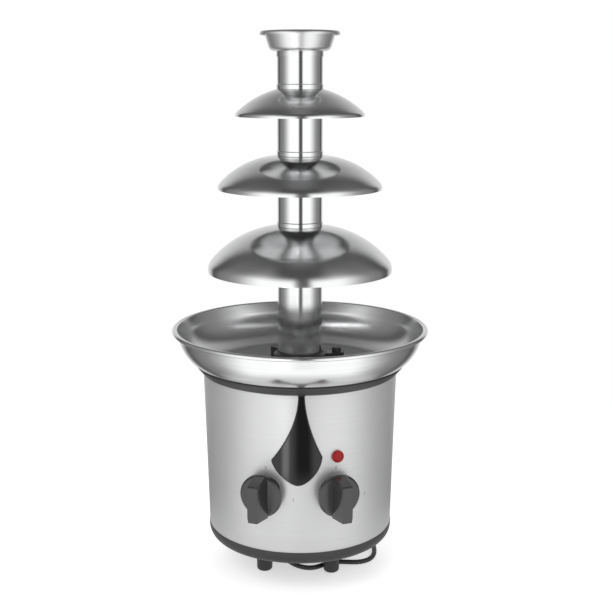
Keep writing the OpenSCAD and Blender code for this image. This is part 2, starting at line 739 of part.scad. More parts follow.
// Knob: a hollow disc with a moulded grip and a hub for the flat spindle
module knob() {
    r = knob_d / 2;
    difference() {
        union() {
            translate([0, 0, knob_back]) difference() {
                rotate_extrude() polygon(concat([[0, 0], [r - 0.4, 0], [r, 0.4]],
                    arc(r - 1.6, knob_disc_t - 1.6, 1.6, 0, 90, 6), [[0, knob_disc_t]]));
                translate([0, 0, -1]) cylinder(r = r - knob_wall, h = knob_disc_t - knob_wall + 1);
            }
            translate([0, 0, knob_back + 0.6]) cylinder(r = hub_r, h = knob_disc_t - 1);
            for (a = [45:90:315]) rotate([0, 0, a]) translate([hub_r - 0.5, -0.6, knob_back + 1.2])
                cube([r - knob_wall - hub_r + 1, 1.2, knob_disc_t - 2]);
            translate([0, 0, knob_face - 0.4]) grip();
        }
        difference() {
            translate([0, 0, knob_back - 1]) cylinder(r = spindle_d / 2 + fit_gap, h = knob_disc_t + 7.5);
            translate([flat_side(spindle_d) + fit_gap, -5, knob_back - 2]) cube([5, 10, 30]);
        }
    }
}

module motor_knob() {
    color(dark_plastic) on_panel(-knob_angle, knob_z, 0) knob();
}

module heat_knob() {
    color(dark_plastic) on_panel(knob_angle, knob_z, 0) knob();
}

// Pilot lamp: body behind the sheet, red lens in front
lens_h = 2.6;
module indicator_lamp() {
    back = panel_e(lamp_z, lamp_r + 1.5) - seat_gap;
    color([0.88, 0.88, 0.86]) on_panel(lamp_angle, lamp_z, 0) {
        translate([0, 0, back - 16]) cylinder(r = lamp_r + 1.5, h = 16);
        translate([0, 0, back - 0.5]) cylinder(r = lamp_r, h = shell_r(lamp_z) - back + 0.5);
        for (x = [-1, 1]) translate([x * 2, 0, back - 22]) cylinder(r = 0.7, h = 7, $fn = 24);
    }
}

module indicator_lens() {
    r = lens_d / 2;
    color([0.72, 0.1, 0.1]) on_panel(lamp_angle, lamp_z, outer_e(lamp_z, r) + fit_gap) rotate_extrude() polygon(concat(
        [[0, 0], [r, 0], [r, 1]], arc(0, -10, norm([r - 0.6, 10 + lens_h - 0.9]), acos((r - 0.6)
            / norm([r - 0.6, 10 + lens_h - 0.9])), 90, 8)));
}

// Terminal block on the tray's two posts
module terminal_block() {
    z = z_tray + tray_floor_t + boss_h;
    color([0.9, 0.89, 0.84]) translate([0, 18, z]) difference() {
        union() {
            translate([0, 0, 0]) rounded_plate(38, 16, 4, 2);
            for (i = [-1:1]) translate([i * 8.4 - 3.6, -6, 3]) cube([7.2, 12, 9]);
        }
        for (i = [-1:1]) translate([i * 8.4, 0, 6]) cylinder(r = 1.8, h = 10);
        for (i = [-1:1]) translate([i * 8.4, 10, 7]) rotate([90, 0, 0]) cylinder(r = 1.5, h = 20);
        for (x = [-1, 1]) translate([x * 14, 0, -1]) cylinder(r = 1.7, h = 6);
    }
}

// Strain relief: a tapered, grooved sleeve at the lead's outlet
module strain_relief() {
    grooves = 4;
    step = (relief_l - 7) / grooves;
    function taper(x) = relief_tip_r + (relief_root_r - relief_tip_r) * x / (relief_l - 4);
    color(dark_plastic) on_exit() rotate([0, -90, 0]) rotate_extrude() polygon(concat(
        [[0, 0], [taper(0) - 0.5, 0], [taper(0), 0.5]],
        [for (i = [0:grooves - 1]) each [[taper(2 + i * step), 2 + i * step], [taper(2 + i * step) - 0.7, 2.4 + i * step],
            [taper(3.4 + i * step) - 0.7, 3.4 + i * step], [taper(3.8 + i * step), 3.8 + i * step]]],
        [[relief_root_r, relief_l - 4], [relief_root_r, relief_l + 6], [0, relief_l + 6]]));
}

// Route of the lead from the strain relief to its coil
tie_t = 0.5;
lay_z = cord_d / 2;
coil_z = lay_z + tie_t + 0.1;
coil_at = [8, 126];
route = [cord_exit, [-16.5, -26.1, 12.1], [-12.5, -30.2, 9.6], [-7.7, -33.7, 7.7], [-2.2, -36, 6], [3.8, -36.6, 4.6],
    [9.8, -35.2, 3.4], [15.2, -32.2, 2.7], [20, -28.3, 2.4], [24.9, -24.3, lay_z], [30.2, -21.2, lay_z],
    [36.3, -19.7, lay_z], [42.5, -19.7, lay_z], [48.7, -20.2, lay_z], [55, -20.1, lay_z], [60.9, -18.3, lay_z],
    [66, -14.7, lay_z], [69.7, -9.8, lay_z], [71.9, -3.9, lay_z], [73.1, 2.2, lay_z], [73.5, 8.4, lay_z],
    [73.6, 14.7, lay_z], [73.5, 20.9, lay_z], [73.2, 27.2, lay_z], [72.7, 33.4, lay_z], [72, 39.6, lay_z],
    [71.1, 45.8, lay_z], [69.9, 51.9, lay_z], [68.4, 58, lay_z], [66.7, 63.9, lay_z], [64.7, 69.8, lay_z],
    [62.3, 75.6, lay_z], [59.7, 81.3, lay_z], [56.9, 86.9, lay_z], [53.9, 92.4, 2.4], [50.8, 97.8, 2.5],
    [47.7, 103.2, 2.7], [45, 108.8, 2.8], [43.2, 114.8, 2.9], [42.5, 121, coil_z]];

// Rings of n points round each point of a path, square to it, and the tube's faces
function cross_unit(a, b) = unit(cross(a, b));
function ring_points(p, dir, r, n) = let (u = cross_unit(dir, [0, 0, 1]), v = cross(u, dir))
    [for (j = [0:n - 1]) p + r * cos(360 * (j + 0.5) / n) * u + r * sin(360 * (j + 0.5) / n) * v];
function path_dir(p, i) = unit(p[min(i + 1, len(p) - 1)] - p[max(i - 1, 0)]);
function tube_faces(rings, n) = concat(
    [for (i = [0:rings - 2], j = [0:n - 1]) let (a = i * n + j, b = i * n + (j + 1) % n)
        each [[a, b, a + n], [b, b + n, a + n]]],
    [[for (j = [n - 1:-1:0]) j]], [[for (j = [0:n - 1]) (rings - 1) * n + j]]);

module swept_tube(p, dirs, r, n) {
    polyhedron(points = [for (i = [0:len(p) - 1]) each ring_points(p[i], dirs[i], r, n)],
        faces = tube_faces(len(p), n));
}

exit_dir = [cos(exit_heading) * cos(exit_dip), sin(exit_heading) * cos(exit_dip), -sin(exit_dip)];
module power_cord() {
    last = len(route) - 1;
    dirs = [for (i = [0:last]) i == 0 ? exit_dir : i == last ? [0, 1, 0] : path_dir(route, i)];
    color([0.12, 0.12, 0.12]) swept_tube(route, dirs, cord_d / 2, 10);
}

// Coil: the turns spiral in on the table, climb in the half turn where they reverse, and spiral out on top
coil_steps = 24;
turn_gap = 0.55;
half_turns = coil_turns / 2;
lane = cord_d + turn_gap;
function smooth(t) = t * t * (3 - 2 * t);
function coil_radius(t) = coil_r - lane * (half_turns - sqrt(pow(t - half_turns, 2) + 0.01) + sqrt(0.01));
function coil_level(t) = coil_z + lane * smooth(min(1, max(0, t - half_turns + 0.5 - 0.25) * 2));
function coil_point(t) = [coil_at[0] + coil_radius(t) * cos(360 * t), coil_at[1] + coil_radius(t) * sin(360 * t),
    coil_level(t)];
coil_count = round(coil_turns * coil_steps);
coil_body = [for (i = [0:coil_count]) coil_point(i / coil_steps)];
coil_start = route[len(route) - 1];
coil_end = coil_body[coil_count];
tail_l = 22;
plug_z = 7.4;
coil_path = concat([coil_start], coil_body,
    [coil_end + [0, -tail_l * 0.3, -0.1], coil_end + [0, -tail_l * 0.6, (plug_z - coil_end[2]) * 0.85],
     [coil_end[0], coil_end[1] - tail_l + cord_d, plug_z], [coil_end[0], coil_end[1] - tail_l, plug_z]]);
// Least distance between turns: points that are over half a turn apart along the tube
coil_gap = min([for (i = [0:len(coil_path) - 1], j = [0:len(coil_path) - 1])
    if (j > i + coil_steps / 2) norm(coil_path[i] - coil_path[j])]) - cord_d;
echo(coil_gap = coil_gap);

module cord_coil() {
    last = len(coil_path) - 1;
    dirs = [for (i = [0:last]) i == 0 ? [0, 1, 0] : i >= last - 1 ? [0, -1, 0] : path_dir(coil_path, i)];
    color([0.12, 0.12, 0.12]) swept_tube(coil_path, dirs, cord_d / 2, 6);
}

// Tie: a band round the bundle of turns
tie_w = 9;
module cord_tie() {
    inner_w = lane * floor(half_turns) + cord_d + 2;
    inner_h = lane + cord_d + 0.7;
    mid_r = coil_r - 0.3 - lane * (0.25 + floor(half_turns) / 2);
    color([0.12, 0.12, 0.12]) translate([coil_at[0], coil_at[1], 0]) rotate([0, 0, 90])
        translate([mid_r, tie_w / 2, inner_h / 2 + tie_t]) rotate([90, 0, 0]) linear_extrude(height = tie_w)
        difference() {
            square([inner_w + 2 * tie_t, inner_h + 2 * tie_t], center = true);
            square([inner_w, inner_h], center = true);
        }
}

// Plug: a flat moulded body with a grooved tail and two round pins
plug_w = 26;
plug_l = 32;
plug_pitch = 18.6;
plug_pin_d = 4;
plug_pin_l = 19;
plug_tail_l = 12;
module at_plug() {
    translate([coil_end[0], coil_end[1] - tail_l, plug_z]) rotate([90, 0, 0]) children();
}

module plug_body() {
    h = 2 * plug_z;
    color(dark_plastic) at_plug() union() {
        rotate_extrude() polygon([[0, 0], [cord_d / 2 + 1.2, 0], [cord_d / 2 + 1.8, 4], [cord_d / 2 + 1.2, 5],
            [cord_d / 2 + 2.2, 8], [cord_d / 2 + 1.6, 9], [cord_d / 2 + 3, plug_tail_l], [0, plug_tail_l]]);
        translate([0, 0, plug_tail_l]) intersection() {
            translate([0, h / 2, 0]) rotate([90, 0, 0]) linear_extrude(height = h) polygon([
                [-7, 0], [7, 0], [plug_w / 2, 11], [plug_w / 2, plug_l - 3], [plug_w / 2 - 2, plug_l],
                [-plug_w / 2 + 2, plug_l], [-plug_w / 2, plug_l - 3], [-plug_w / 2, 11]]);
            rounded_plate(plug_w, h, plug_l, 4);
        }
    }
}

module plug_pins() {
    color(zinc) at_plug() for (x = [-1, 1]) translate([x * plug_pitch / 2, 0, plug_tail_l + plug_l]) {
        cylinder(r = plug_pin_d / 2, h = plug_pin_l - 1.2);
        translate([0, 0, plug_pin_l - 1.2]) cylinder(r1 = plug_pin_d / 2, r2 = plug_pin_d / 2 - 0.9, h = 1.2);
    }
}

// Drive: shaft up through the sleeve, hexagonal head on top, cross pin through both
module output_shaft() {
    color(zinc) difference() {
        translate([0, 0, z_motor + 4.3]) cylinder(r = shaft_r, h = z_drive_top - 0.5 - z_motor - 4.3);
        translate([0, 0, z_drive + drive_h / 2]) rotate([90, 0, 0]) translate([0, 0, -20])
            cylinder(r = pin_d / 2 + fit_gap, h = 40, $fn = 32);
    }
}

module drive_head() {
    color(steel) difference() {
        translate([0, 0, z_drive]) hex(drive_af, drive_h);
        translate([0, 0, z_drive - 1]) cylinder(r = shaft_r + fit_gap, h = drive_h + 2);
        translate([0, 0, z_drive + drive_h / 2]) rotate([90, 0, 0]) translate([0, 0, -20])
            cylinder(r = pin_d / 2 + fit_gap, h = 40, $fn = 32);
    }
}

module drive_pin() {
    l = drive_af - 0.4;
    color(zinc) translate([0, 0, z_drive + drive_h / 2]) rotate([90, 0, 0]) translate([0, 0, -l / 2])
        cylinder(r = pin_d / 2, h = l, $fn = 32);
}

// Auger: a screw with a tapered flight, a hollow skirt over the sleeve and a hexagonal socket
function core_at(z) = z < z_skirt ? skirt_r : z > z_skirt + 8 ? core_r : skirt_r + (core_r - skirt_r) * (z - z_skirt) / 8;
flight_from = z_auger + 1.2;
flight_to = z_auger_top - core_r - 3;
flight_turns = (flight_to - flight_from) / auger_pitch;
flight_count = ceil(flight_turns * flight_steps);
// The flight's edge rises out of the core over the first and last part of a turn
function flight_reach(t) = min(1, t * 6, (flight_turns - t) * 4 + 0.02);
module flight() {
    points = [for (i = [0:flight_count]) let (t = flight_turns * i / flight_count, a = 360 * t,
        z = flight_from + auger_pitch * t, root = core_at(z) - 0.7,
        edge = root + 1 + (auger_r - root - 1) * max(0, flight_reach(t)))
        each [for (p = [[root, flight_root_t / 2], [edge, flight_tip_t / 2], [edge, -flight_tip_t / 2],
            [root, -flight_root_t / 2]]) [p[0] * cos(a), p[0] * sin(a), z + p[1] + 1]]];
    n = flight_count + 1;
    sides = [for (i = [0:n - 2], j = [0:3]) let (a = 4 * i + j, b = 4 * i + (j + 1) % 4)
        each [[a, a + 4, b], [b, a + 4, b + 4]]];
    polyhedron(points = points, faces = concat(sides,
        [[0, 1, 2], [0, 2, 3]], [[4 * n - 4, 4 * n - 2, 4 * n - 3], [4 * n - 4, 4 * n - 1, 4 * n - 2]]));
}

module auger() {
    color([0.93, 0.93, 0.9]) union() {
        difference() {
            rotate_extrude() polygon(concat(
                [[0, z_auger], [skirt_r, z_auger], [skirt_r, z_skirt], [core_r, z_skirt + 8],
                 [core_r, z_auger_top - core_r]],
                arc(0, z_auger_top - core_r, core_r, 0, 90, 8)));
            translate([0, 0, z_auger - 1]) cylinder(r = skirt_bore_r, h = z_drive - 0.8 - z_auger + 1);
            translate([0, 0, z_drive - 2]) hex(drive_af + 2 * seat_gap, drive_h + 2 + seat_gap);
        }
        flight();
    }
}

// Tubes: bore, collar at the foot, and an inner sleeve that stands up as the spigot
function tube_top(h) = [[tube_r, h], [spigot_r, h], [spigot_r, h + spigot_h - 0.6], [spigot_r - 0.5, h + spigot_h],
    [spigot_bore_r, h + spigot_h], [spigot_bore_r, h - spigot_h], [bore_r, h - spigot_h - 1]];
function collar() = [[bore_r, 0], [collar_r - 0.2, 0], [collar_r, 0.2], [collar_r, collar_h - 0.3],
    [tube_r, collar_h]];

module base_tube() {
    color(steel) translate([0, 0, z_seat]) difference() {
        union() {
            rotate_extrude($fn = 120) polygon(concat(
                [[bore_r, 0], [foot_flange_r, 0], [foot_flange_r, flange_t], [tube_r + 2.6, flange_t + 0.7],
                 [tube_r + 0.9, flange_t + 1.8], [tube_r, flange_t + 3.4]],
                tube_top(base_tube_h)));
            for (a = post_angles) rotate([0, 0, a]) {
                translate([post_r, 0, 0]) cylinder(r = ear_r, h = flange_t);
                translate([foot_flange_r - 3, -ear_r, 0]) cube([post_r - foot_flange_r + 3, 2 * ear_r, flange_t]);
            }
        }
        round_at(post_angles, post_r) translate([0, 0, -1]) cylinder(r = post_d / 2 + post_gap, h = flange_t + 2);
    }
}

module tower_tube(z, h) {
    color(steel) translate([0, 0, z]) rotate_extrude($fn = 120) polygon(concat(collar(), tube_top(h)));
}

module middle_tube() {
    tower_tube(z_large, middle_tube_h);
}

module upper_tube() {
    tower_tube(z_medium, upper_tube_h);
}

module crown_tube() {
    color(steel) translate([0, 0, z_small]) rotate_extrude($fn = 120)
        polygon(concat(collar(), [[tube_r, crown_tube_h], [bore_r, crown_tube_h]]));
}

// Tier: land on the tube below, one large arc, and a tighter edge curve that tucks in
module tier(z, d, drop, edge_r, slope) {
    cx = d / 2 - edge_r;
    cz = -drop;
    tangent = [cx + edge_r * cos(slope), cz + edge_r * sin(slope)];
    u = [cos(slope), sin(slope)];
    top = [collar_r + 0.6, 0];
    big_r = -pow(norm(top - tangent), 2) / (2 * (top - tangent) * u);
    c = tangent - big_r * u;
    top_a = acos((top[0] - c[0]) / big_r);
    path = concat(
        arc(cx, cz, edge_r, -edge_tuck, slope, 12),
        [for (p = arc(c[0], c[1], big_r, slope, top_a, 28)) if (p[1] > tangent[1] + 0.01) p],
        [[spigot_r + spigot_gap, 0]]);
    color(steel) translate([0, 0, z]) rotate_extrude($fn = 180) union() {
        polygon(sheet(path, tier_t));
        polygon([[tube_r + neck_gap, -neck_h], [tube_r + neck_gap + tier_t, -neck_h],
            [tube_r + neck_gap + tier_t, -tier_t / 2], [tube_r + neck_gap, -tier_t / 2]]);
    }
}

module large_tier() {
    tier(z_large, large_tier_d, large_tier_drop, large_edge_r, large_slope);
}

module medium_tier() {
    tier(z_medium, medium_tier_d, medium_tier_drop, medium_edge_r, medium_slope);
}

module small_tier() {
    tier(z_small, small_tier_d, small_tier_drop, small_edge_r, small_slope);
}

// Crown cup: a small dish with a flared lip, on a collar round the crown tube
cup_corner_r = 5.2;
cup_lean = 18;
cup_roll_r = 1.6;
module crown_cup() {
    floor_r = cup_d / 2 - 12.9;
    z_under = z_cup - cup_t;
    roll = [cup_d / 2 - cup_roll_r - cup_t, z_cup + cup_h - cup_roll_r - cup_t];
    path = concat(
        [[tube_r + fit_gap, z_under]],
        arc(floor_r, z_under + cup_corner_r, cup_corner_r, -90, -cup_lean, 10),
        arc(roll[0], roll[1], cup_roll_r, 180 - cup_lean, -25, 14));
    color(steel) rotate_extrude($fn = 120) union() {
        polygon(sheet(path, cup_t));
        polygon([[tube_r + fit_gap, z_cup - 6], [collar_r + 0.2, z_cup - 6], [collar_r + 0.2, z_cup - cup_t / 2],
            [tube_r + fit_gap, z_cup - cup_t / 2]]);
    }
}

base_tray();
feet();
foot_screws();
housing_shell();
drop_panel();
top_ring();
bowl();
tower_seat();
seat_gasket();
seat_nut();
shaft_bush();
shaft_seal();
heat_spreader();
heating_element();
thermostat();
thermal_fuse();
tie_rods();
tie_nuts();
motor_bracket();
gearbox();
gear_motor();
motor_screws();
motor_switch();
heat_switch();
switch_nuts();
indicator_lamp();
indicator_lens();
terminal_block();
strain_relief();
power_cord();
cord_coil();
cord_tie();
plug_body();
plug_pins();
output_shaft();
drive_head();
drive_pin();
auger();
base_tube();
large_tier();
middle_tube();
medium_tier();
upper_tube();
small_tier();
crown_tube();
crown_cup();
motor_knob();
motor_spindle();
heat_knob();
heat_spindle();
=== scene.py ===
"""Chocolate fountain: camera, lead, studio, finishes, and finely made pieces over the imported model."""
import math
import bpy
import bmesh
import numpy as np
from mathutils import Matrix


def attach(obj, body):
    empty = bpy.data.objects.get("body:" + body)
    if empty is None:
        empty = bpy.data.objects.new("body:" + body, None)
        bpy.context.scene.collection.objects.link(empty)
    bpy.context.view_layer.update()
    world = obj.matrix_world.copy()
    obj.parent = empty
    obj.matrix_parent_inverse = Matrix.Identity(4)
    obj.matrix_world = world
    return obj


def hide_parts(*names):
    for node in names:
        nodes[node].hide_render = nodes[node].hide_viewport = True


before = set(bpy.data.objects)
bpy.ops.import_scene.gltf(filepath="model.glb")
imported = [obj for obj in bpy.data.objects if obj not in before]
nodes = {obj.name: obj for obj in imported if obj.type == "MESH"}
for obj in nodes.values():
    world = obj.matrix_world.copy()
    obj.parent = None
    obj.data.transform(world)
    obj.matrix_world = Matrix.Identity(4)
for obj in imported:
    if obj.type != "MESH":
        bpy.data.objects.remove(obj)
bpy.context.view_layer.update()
MM = 0.001
scene = bpy.context.scene
scene.view_settings.view_transform = "Standard"

# ---------------------------------------------------------------- sizes, in millimetres, as in the part's source
Z_HOUSING, Z_RING, Z_BOWL, Z_SEAT = 40.0, 190.3, 191.6, 203.8  # lower edges: housing, top ring, bowl, base tube
Z_LARGE, Z_MEDIUM, Z_SMALL, Z_CUP = 326.1, 390.5, 450.0, 484.4  # tops of the three tiers, and the cup's underside
TUBE_R, BORE_R, SPIGOT_R, SPIGOT_BORE_R, COLLAR_R = 20.7, 19.5, 19.4, 18.3, 21.2
SHELL_LOW_D, SHELL_TOP_D, SHELL_H = 174.2, 181.8, 150.3
SHELL_T, SHEET = 1.2, 1.0  # sheet of the housing; sheet of the tiers, bowl and cup
FOOT_AT, FOOT_TURN = 31.8, math.radians(-3.5)  # half the side of the feet's square, and its turn
KNOB_ANGLE, KNOB_Z = 20.5, 98.7  # degrees from the front, and height
KNOB_BACK, KNOB_FACE = 94.98, 100.88  # from the axis to the back and the face of a knob's disc
LAMP_ANGLE, LAMP_Z = 21.7, 132.4


def shell_r(z):
    """Outside radius of the housing, growing evenly from its lower to its upper edge."""
    return (SHELL_LOW_D + (SHELL_TOP_D - SHELL_LOW_D) * (z - Z_HOUSING) / SHELL_H) / 2


# ---------------------------------------------------------------- camera
camera = bpy.data.objects.new("camera", bpy.data.cameras.new("camera"))
scene.collection.objects.link(camera)
camera.location = (0, -1.0121, 0.4643)
camera.rotation_euler = (math.radians(90 - 11.92), 0, 0)
camera.data.lens = 64.95
camera.data.sensor_width = 36
camera.data.shift_x = 0.0098
camera.data.clip_start = 0.02
camera.data.clip_end = 30
scene.camera = camera


# ---------------------------------------------------------------- surfaces
def arc(cx, cy, r, a0, a1, n):
    """Points on a circle: centre plus r times cosine and sine of angles spaced evenly from a0 to a1 degrees."""
    a = np.radians(np.linspace(a0, a1, n))
    return np.stack([cx + r * np.cos(a), cy + r * np.sin(a)], 1)


def dense(line, step, closed=True):
    """A line with points added so that no piece of it is longer than step: each piece is divided evenly."""
    line = np.asarray(line, float)
    ends = np.roll(line, -1, 0) if closed else line[1:]
    starts = line if closed else line[:-1]
    counts = np.maximum(1, np.ceil(np.linalg.norm(ends - starts, axis=1) / step)).astype(int)
    out = [s + (e - s) * (np.arange(c)[:, None] / c) for s, e, c in zip(starts, ends, counts)]
    return np.concatenate(out if closed else out + [line[-1:]])


def rounded(line, r, n=5):
    """A closed outline with each corner cut by an arc: the cut is r over the tangent of half the corner's angle, at
    most 0.45 of its shorter side. The arc's points lie between its ends by the sine rule about its centre."""
    line = np.asarray(line, float)
    before, after = np.roll(line, 1, 0) - line, np.roll(line, -1, 0) - line
    lb, la = np.linalg.norm(before, axis=1), np.linalg.norm(after, axis=1)
    ub, ua = before / lb[:, None], after / la[:, None]
    half = np.minimum(np.arccos(np.clip((ub * ua).sum(1), -1, 1)) / 2, 1.56)
    cut = np.minimum(r / np.tan(half), np.minimum(lb, la) * 0.45)
    mid = ub + ua
    mid /= np.maximum(np.linalg.norm(mid, axis=1), 1e-9)[:, None]
    centre = line + mid * (cut / np.cos(half))[:, None]
    t, w = np.linspace(0, 1, n)[None, :, None], (math.pi - 2 * half)[:, None, None]
    first = (line + ub * cut[:, None] - centre)[:, None]
    last = (line + ua * cut[:, None] - centre)[:, None]
    curve = centre[:, None] + (np.sin((1 - t) * w) * first + np.sin(t * w) * last) / np.sin(w)
    out = np.where((half > 1.52)[:, None, None], line[:, None], curve).reshape(-1, 2)
    return out[np.linalg.norm(out - np.roll(out, 1, 0), axis=1) > 1e-4]


def softened(path, spread, step=0.4):
    """An open path at even steps with its changes of curve spread along it; its upper end and widest radius stay."""
    path = np.asarray(path, float)
    along = np.concatenate([[0], np.cumsum(np.linalg.norm(np.diff(path, axis=0), axis=1))])
    even = np.linspace(0, along[-1], int(along[-1] / step) + 1)
    out = np.stack([np.interp(even, along, path[:, k]) for k in (0, 1)], 1)
    for _ in range(int(2 * (spread / step) ** 2)):
        out[1:-1] = (out[:-2] + 2 * out[1:-1] + out[2:]) / 4
    widest, last = out[:, 0].max(), out[-1, 0]
    out[:, 0] += (path[:, 0].max() - widest) * (out[:, 0] - last) / (widest - last)
    return out


def sheet_outline(path, t):
    """A path thickened to its left by t: out along the path and back along the same path moved by its normals."""
    path = np.asarray(path, float)
    d = np.gradient(path, axis=0)
    d /= np.linalg.norm(d, axis=1)[:, None]
    left = path + np.stack([-d[:, 1], d[:, 0]], 1) * t
    return np.concatenate([path, left[::-1]])


def mesh_object(name, points, faces, sharp=38, weld=None, uv=None):
    """An object from points in millimetres and faces, smooth except along edges sharper than the given angle. With
    weld, points closer than that are joined and the faces turned outward."""
    mesh = bpy.data.meshes.new(name)
    faces = faces.tolist() if isinstance(faces, np.ndarray) else faces
    mesh.from_pydata((np.asarray(points, float) * MM).tolist(), [], faces)
    if uv is not None:
        layer = mesh.uv_layers.new(name="UVMap")
        loops = np.zeros(len(mesh.loops), np.int32)
        mesh.loops.foreach_get("vertex_index", loops)
        layer.data.foreach_set("uv", np.asarray(uv, np.float32)[loops].ravel())
    if weld:
        bm = bmesh.new()
        bm.from_mesh(mesh)
        bmesh.ops.remove_doubles(bm, verts=bm.verts, dist=weld * MM)
        bmesh.ops.recalc_face_normals(bm, faces=bm.faces)
        bm.to_mesh(mesh)
        bm.free()
    mesh.polygons.foreach_set("use_smooth", np.ones(len(mesh.polygons), bool))
    mesh.set_sharp_from_angle(angle=math.radians(sharp))
    obj = bpy.data.objects.new(name, mesh)
    scene.collection.objects.link(obj)
    return obj


def grid_faces(n, m, wrap_n, wrap_m):
    """Quads of an n by m grid of points, joined round where wrap says so."""
    i, j = np.meshgrid(np.arange(n if wrap_n else n - 1), np.arange(m if wrap_m else m - 1), indexing="ij")
    i2, j2 = (i + 1) % n, (j + 1) % m
    return np.stack([i * m + j, i * m + j2, i2 * m + j2, i2 * m + j], -1).reshape(-1, 4)


def lathe(name, outline, segments=192, step=1.5, place=None, sharp=38):
    """A closed outline of (radius, height) points turned about an axis: x = r cos a, y = r sin a, z = height."""
    line = dense(outline, step)
    nxt = np.roll(line, -1, 0)
    if (line[:, 0] * nxt[:, 1] - nxt[:, 0] * line[:, 1]).sum() < 0:
        line = line[::-1]
    a = np.linspace(0, 2 * math.pi, segments, endpoint=False)
    pts = np.stack([line[:, 0, None] * np.cos(a), line[:, 0, None] * np.sin(a),
                    np.broadcast_to(line[:, 1, None], (len(line), segments))], -1).reshape(-1, 3)
    if place is not None:
        pts = place(pts)
    weld = 0.001 if line[:, 0].min() < 1e-6 else None
    return mesh_object(name, pts, grid_faces(len(line), segments, True, True), sharp, weld)


def on_panel(angle, z):
    """Maps a point (x across, y up, e outward from the axis) to the front panel at an angle from the front."""
    a = math.radians(angle)
    across, up, out = np.array([[math.cos(a), math.sin(a), 0], [0, 0, 1], [math.sin(a), -math.cos(a), 0]])
    base = np.array([0, 0, z], float)
    return lambda p: base + p[:, :1] * across + p[:, 1:2] * up + p[:, 2:3] * out


def frames_along(path):
    """Unit directions of a path that is never upright, the level vector square to each, and the one square to both."""
    d = np.gradient(path, axis=0)
    d /= np.linalg.norm(d, axis=1)[:, None]
    side = np.stack([d[:, 1], -d[:, 0], np.zeros(len(d))], 1)
    side /= np.linalg.norm(side, axis=1)[:, None]
    return d, side, np.cross(side, d)


def tube_along(name, path, radius, sides=14):
    """A round tube: each ring is the path's point plus radius times (side cos a + up sin a), with closed ends."""
    path = np.asarray(path, float)
    d, side, up = frames_along(path)
    a = np.linspace(0, 2 * math.pi, sides, endpoint=False)
    ring = (side[:, None] * np.cos(a)[None, :, None] + up[:, None] * np.sin(a)[None, :, None]) * radius
    pts = (path[:, None] + ring).reshape(-1, 3)
    length = np.concatenate([[0], np.cumsum(np.linalg.norm(np.diff(path, axis=0), axis=1))])
    uv = np.stack([np.repeat(length, sides) * MM, np.tile(a / (2 * math.pi), len(path))], 1)
    faces = grid_faces(len(path), sides, False, True)[:, ::-1].tolist()
    faces.append(list(range(sides)))
    faces.append(list(range((len(path) - 1) * sides, len(path) * sides))[::-1])
    return mesh_object(name, pts, faces, 50, None, uv)


def bevel(obj, width, segments=3, angle=30):
    """A Bevel modifier on edges sharper than the angle, width in millimetres."""
    m = obj.modifiers.new("rounded edges", "BEVEL")
    m.width = width * MM
    m.segments = segments
    m.limit_method = "ANGLE"
    m.angle_limit = math.radians(angle)
    m.harden_normals = True
    return obj


def backed(obj, depth=0.2):
    """A Solidify modifier that closes an open sheet on its inner side, depth in millimetres."""
    m = obj.modifiers.new("backed sheet", "SOLIDIFY")
    m.thickness = depth * MM
    m.offset = -1.0
    return obj


# ---------------------------------------------------------------- node groups and materials
def group(name, inputs, outputs):
    """A shader node group with float inputs (name, value) and outputs (name, socket type)."""
    tree = bpy.data.node_groups.new(name, "ShaderNodeTree")
    for label, value in inputs:
        s = tree.interface.new_socket(name=label, in_out="INPUT", socket_type="NodeSocketFloat")
        s.default_value = value
    for label, kind in outputs:
        tree.interface.new_socket(name=label, in_out="OUTPUT", socket_type=kind)
    return tree, tree.nodes.new("NodeGroupInput"), tree.nodes.new("NodeGroupOutput")


def maths(tree, kind, a, b=None, c=None):
    """A Math node; each of a, b, c is a socket or a number."""
    n = tree.nodes.new("ShaderNodeMath")
    n.operation = kind
    for i, v in enumerate((a, b, c)):
        if v is None:
            continue
        if isinstance(v, (int, float)):
            n.inputs[i].default_value = v
        else:
            tree.links.new(v, n.inputs[i])
    return n.outputs[0]


def noise(tree, vector, scale, detail=3.0, rough=0.5):
    """A Noise Texture's value on a vector, at a scale that is a number or a socket."""
    n = tree.nodes.new("ShaderNodeTexNoise")
    tree.links.new(vector, n.inputs["Vector"])
    if isinstance(scale, (int, float)):
        n.inputs["Scale"].default_value = scale
    else:
        tree.links.new(scale, n.inputs["Scale"])
    n.inputs["Detail"].default_value = detail
    n.inputs["Roughness"].default_value = rough
    return n.outputs["Fac"]


def remap(tree, value, lo, hi, to_lo, to_hi, smooth=False):
    """A Map Range node from lo..hi to to_lo..to_hi, each a number or a socket."""
    n = tree.nodes.new("ShaderNodeMapRange")
    if smooth:
        n.interpolation_type = "SMOOTHSTEP"
    tree.links.new(value, n.inputs["Value"])
    for label, v in zip(("From Min", "From Max", "To Min", "To Max"), (lo, hi, to_lo, to_hi)):
        if isinstance(v, (int, float)):
            n.inputs[label].default_value = v
        else:
            tree.links.new(v, n.inputs[label])
    return n.outputs["Result"]


def coordinates(tree):
    """The point in the object's own frame."""
    return tree.nodes.new("ShaderNodeTexCoord").outputs["Object"]


def split(tree):
    """The x, y and z of the point in the object's own frame."""
    xyz = tree.nodes.new("ShaderNodeSeparateXYZ")
    tree.links.new(coordinates(tree), xyz.inputs[0])
    return xyz.outputs


def plus(tree, a, b):
    return maths(tree, "ADD", a, b)


def times(tree, a, b):
    return maths(tree, "MULTIPLY", a, b)


def from_axis(tree, x, y):
    """Distance from the upright axis."""
    return maths(tree, "SQRT", plus(tree, times(tree, x, x), times(tree, y, y)))


